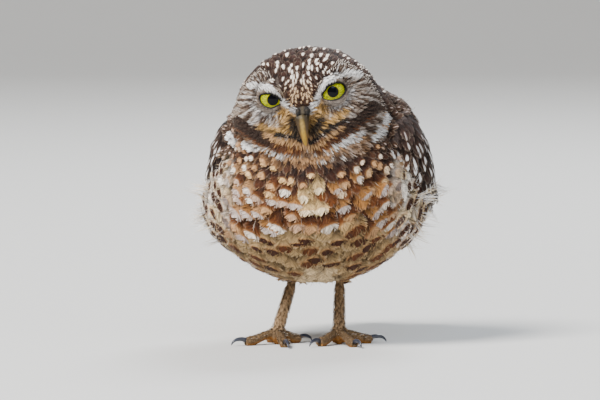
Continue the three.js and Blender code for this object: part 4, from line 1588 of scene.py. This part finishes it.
def make_camera():
    """The photo's viewpoint: level with the bird, a little above it."""
    data = bpy.data.cameras.new("camera")
    data.sensor_width = FILM_WIDTH
    data.lens = FILM_WIDTH * CAMERA_DISTANCE / VIEW_WIDTH
    data.clip_end = 100
    camera = linked("camera", data)
    back = Vector((0, -COS_RISE, SIN_RISE)) * CAMERA_DISTANCE
    camera.location = Vector(AIM) + back
    camera.rotation_euler = (-back).to_track_quat("-Z", "Y").to_euler()
    bpy.context.scene.camera = camera


# Eyes, bill and claws
ROUNDING = 2


def smooth_copy(name, node):
    """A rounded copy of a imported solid, its facets smoothed away."""
    shape = merged_shape(node)
    mesh = bpy.data.meshes.new(name)
    shape.to_mesh(mesh)
    shape.free()
    mesh.polygons.foreach_set("use_smooth", np.ones(len(mesh.polygons), bool))
    piece = linked(name, mesh)
    soft = piece.modifiers.new("round", "SUBSURF")
    soft.levels = ROUNDING
    soft.render_levels = ROUNDING
    return piece


def eye_material():
    """A lemon iris round a black pupil, from the Iris map: way round, and angle from the axis."""
    material, tree, surface = new_material("eye", 0.25, coat=1.0, specular=0.0)
    surface.inputs["Coat Roughness"].default_value = 0.02
    surface.inputs["Coat IOR"].default_value = 1.22
    place = add(tree, "ShaderNodeSeparateXYZ", {0: add(tree, "ShaderNodeUVMap", uv_map="Iris").outputs[0]})
    angle = place.outputs[1]
    spokes = maths(tree, "MULTIPLY", place.outputs[0], 90.0)
    rings = maths(tree, "MULTIPLY", angle, 14.0)
    spread = add(tree, "ShaderNodeCombineXYZ", {0: spokes, 1: rings}).outputs[0]
    fleck = noise_at(tree, spread, 1.0, 3.0)
    iris = mixed(tree, soft_step(tree, fleck, 0.35, 0.7), tone(132, 142, 14), tone(206, 206, 40))
    iris = partly(tree, soft_step(tree, angle, 0.19, 0.125), 0.45, iris, tone(150, 140, 20))
    iris = mixed(tree, soft_step(tree, angle, 0.27, 0.325), iris, tone(24, 22, 10))
    iris = mixed(tree, soft_step(tree, angle, 0.128, 0.119), iris, (0.002, 0.002, 0.003))
    tree.links.new(iris, surface.inputs["Base Color"])
    return material


def plain_material(name, colour, roughness, coat=0.0, grain=0.0):
    """One colour with a soft mottling and a fine bump."""
    material, tree, surface = new_material(name, roughness, coat)
    noise = noise_at(tree, object_places(tree), 600.0, 4.0)
    dark = tuple(np.array(colour) * (1 - grain))
    tree.links.new(mixed(tree, noise, colour, dark), surface.inputs["Base Color"])
    bumped(tree, surface, noise, 0.3, 0.0002)
    return material


def bill_material():
    """Straw yellow along the ridge and tip, olive down the sides and at the root, the sides also darkened as
    painted shade.
    """
    material, tree, surface = new_material("bill horn", 0.5, coat=0.04, specular=0.35)
    where = object_places(tree)
    noise = noise_at(tree, where, 700.0, 4.0)
    across, upright = Vector(HEAD_TURN[:, 0]), Vector(HEAD_TURN[:, 2])
    middle, top = (Vector((BILL - MIDDLE) * MM).dot(way) for way in (across, upright))
    aside = measured(tree, where, across)
    aside = maths(tree, "ABSOLUTE", maths(tree, "SUBTRACT", aside, middle))
    high = maths(tree, "SUBTRACT", measured(tree, where, upright), top)
    rise = soft_step(tree, high, -0.015, 0.0)
    ridge = mixed(tree, soft_step(tree, rise, 0.35, 1.0), tone(190, 158, 66), tone(178, 154, 96))
    # Painted shade: the sides are darker than the ridge, partly the olive of the horn and partly shade
    # beside the bristles.
    flank = mixed(tree, soft_step(tree, rise, 0.1, 0.8), tone(142, 112, 44), tone(98, 78, 40))
    ridge = mixed(tree, soft_step(tree, high, -0.003, 0.002), ridge, tone(104, 90, 56))
    flank = mixed(tree, soft_step(tree, high, -0.004, 0.001), flank, tone(74, 62, 36))
    colour = mixed(tree, soft_step(tree, aside, 0.0003, 0.0018), ridge, flank)
    colour = partly(tree, soft_step(tree, noise, 0.4, 0.7), 0.35, colour, tone(80, 70, 48))
    colour = mixed(tree, soft_step(tree, high, 0.0015, 0.004), colour, CERE_GREY)
    tree.links.new(colour, surface.inputs["Base Color"])
    bumped(tree, surface, noise, 0.35, 0.0003)
    return material


def cere_material():
    """Dark, finely wrinkled skin with a paler saddle between its two swellings."""
    material, tree, surface = new_material("cere skin", 0.7, specular=0.3)
    where = object_places(tree)
    noise = noise_at(tree, where, 900.0, 5.0)
    cells = add(tree, "ShaderNodeTexVoronoi", {"Vector": where, "Scale": 2200.0}).outputs[0]
    across = Vector(HEAD_TURN[:, 0])
    middle = Vector((from_head(CERE_SADDLE) - MIDDLE) * MM).dot(across)
    aside = measured(tree, where, across)
    aside = maths(tree, "ABSOLUTE", maths(tree, "SUBTRACT", aside, middle))
    colour = mixed(tree, soft_step(tree, noise, 0.4, 0.65), CERE_GREY, tone(84, 76, 66))
    colour = partly(tree, soft_step(tree, aside, 0.0014, 0.0), 0.6, colour, tone(112, 100, 78))
    tree.links.new(colour, surface.inputs["Base Color"])
    height = maths(tree, "ADD", noise, maths(tree, "MULTIPLY", cells, 0.5))
    bumped(tree, surface, height, 0.8, 0.0005)
    return material


# The eyeball's radius, and the cornea's swelling over it as a share of that and its half angle
EYE_RADIUS = 7.6
CORNEA_RISE = 0.035
CORNEA_ANGLE = 0.75


def eyeball(side):
    """A round eye with its cornea, looking at the camera."""
    shape = bmesh.new()
    bmesh.ops.create_uvsphere(shape, u_segments=64, v_segments=48, radius=1.0)
    bmesh.ops.triangulate(shape, faces=[f for f in shape.faces if len(f.verts) > 4])
    layer = shape.loops.layers.uv.new("Iris")
    bake = shape.loops.layers.uv.new("OFBake")
    for face in shape.faces:
        middle = face.calc_center_median()
        turn = math.atan2(middle.y, middle.x)
        for loop in face.loops:
            co = loop.vert.co
            here = math.atan2(co.y, co.x)
            here += round((turn - here) / (2 * math.pi)) * 2 * math.pi
            if math.hypot(co.x, co.y) < 1e-6:
                here = turn
            round_part = here / (2 * math.pi) + 0.5
            down_part = math.acos(max(-1, min(1, co.z))) / math.pi
            loop[layer].uv = (round_part, down_part)
            loop[bake].uv = (on_map(min(max(round_part, 0), 1)), on_map(down_part))
    look = Vector(EYE_LOOK[side]).normalized()
    turn = look.to_track_quat("Z", "Y").to_matrix()
    centre = Vector((EYES[side] - MIDDLE) * MM)
    for vertex in shape.verts:
        angle = math.acos(max(-1, min(1, vertex.co.z)))
        bulge = CORNEA_RISE * math.exp(-(angle / CORNEA_ANGLE) ** 4)
        vertex.co = turn @ (vertex.co * EYE_RADIUS * (1 + bulge) * MM) + centre
    mesh = bpy.data.meshes.new("eyeball_" + side)
    shape.to_mesh(mesh)
    shape.free()
    mesh.polygons.foreach_set("use_smooth", np.ones(len(mesh.polygons), bool))
    return finished(linked("eyeball_" + side, mesh), "eye", EYE_MATERIAL, "eye_" + side)


EYE_MATERIAL = eye_material()


def lid_material():
    """Skin of the lids in its own colours."""
    material, tree, surface = new_material("lid skin", 0.6, specular=0.2)
    ground = add(tree, "ShaderNodeAttribute", attribute_name="ground").outputs["Color"]
    tree.links.new(ground, surface.inputs["Base Color"])
    return material


LID_MATERIAL = lid_material()


# Balls in the head's frame, as centre and half sizes: the cere's swellings, and dark balls in them that
# stand for the shade inside the nostrils
CERE_LUMPS = (
    ((-1.7, -33.0, 9.4), (1.5, 2.1, 2.3)),
    ((3.0, -33.0, 9.7), (1.5, 2.1, 2.6)),
    ((0.7, -32.4, 8.6), (1.7, 2.2, 2.3)),
    ((0.7, -30.6, 9.0), (3.9, 2.4, 2.6)),
)
NOSTRILS = (
    ((-2.1, -35.0, 8.9), (0.5, 0.3, 0.9)),
    ((3.4, -35.0, 9.1), (0.5, 0.3, 0.9)),
)


def melted(name, balls):
    """Balls of the head's frame run together into one smooth lump."""
    shape = bmesh.new()
    turn = Matrix(HEAD_TURN.tolist()).to_4x4()
    for centre, halves in balls:
        place = Matrix.Translation(Vector((from_head(centre) - MIDDLE) * MM)) @ turn
        size = Matrix.Diagonal((*(MM * h for h in halves), 1))
        bmesh.ops.create_icosphere(shape, subdivisions=4, radius=1.0, matrix=place @ size)
    mesh = bpy.data.meshes.new(name)
    shape.to_mesh(mesh)
    shape.free()
    piece = linked(name, mesh)
    melt(piece, 0.28, 4)
    return piece


def make_head_parts(lids):
    """Eyes, lids, bill and cere."""
    for side, lid in zip(("right", "left"), lids):
        eyeball(side)
        eyelids(side, lid)
    horn = bill_material()
    for part in ("upper", "lower"):
        finished(smooth_copy("bill_" + part + "_horn", "bill_" + part), "bill_horn", horn, "bill_" + part)
    finished(melted("cere_skin", CERE_LUMPS), "cere_skin", cere_material(), "cere")
    # Painted shade: the nostrils are near-black balls for the shade inside them.
    nostril_shade = plain_material("nostril", tone(10, 8, 8), 0.9)
    finished(melted("nostrils", NOSTRILS), "cere_skin", nostril_shade)


def make_claws():
    """Curved claws, blue-grey with a pale sheen."""
    horn = plain_material("claw horn", tone(80, 84, 98), 0.28, coat=0.3, grain=0.35)
    for node in sorted(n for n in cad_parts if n.startswith("claw_")):
        finished(smooth_copy(node + "_horn", node), "claw_horn", horn, node)


body, legs = make_skin()
skin_tree = tree_of(body)
lids = [lid_surface(side, skin_tree) for side in ("right", "left")]
make_plumage(body, lids)
make_leg_bristles(legs)
make_flight_rows()
make_scapulars(body)
make_tail()
make_head_parts(lids)
make_claws()
make_stage()
make_camera()
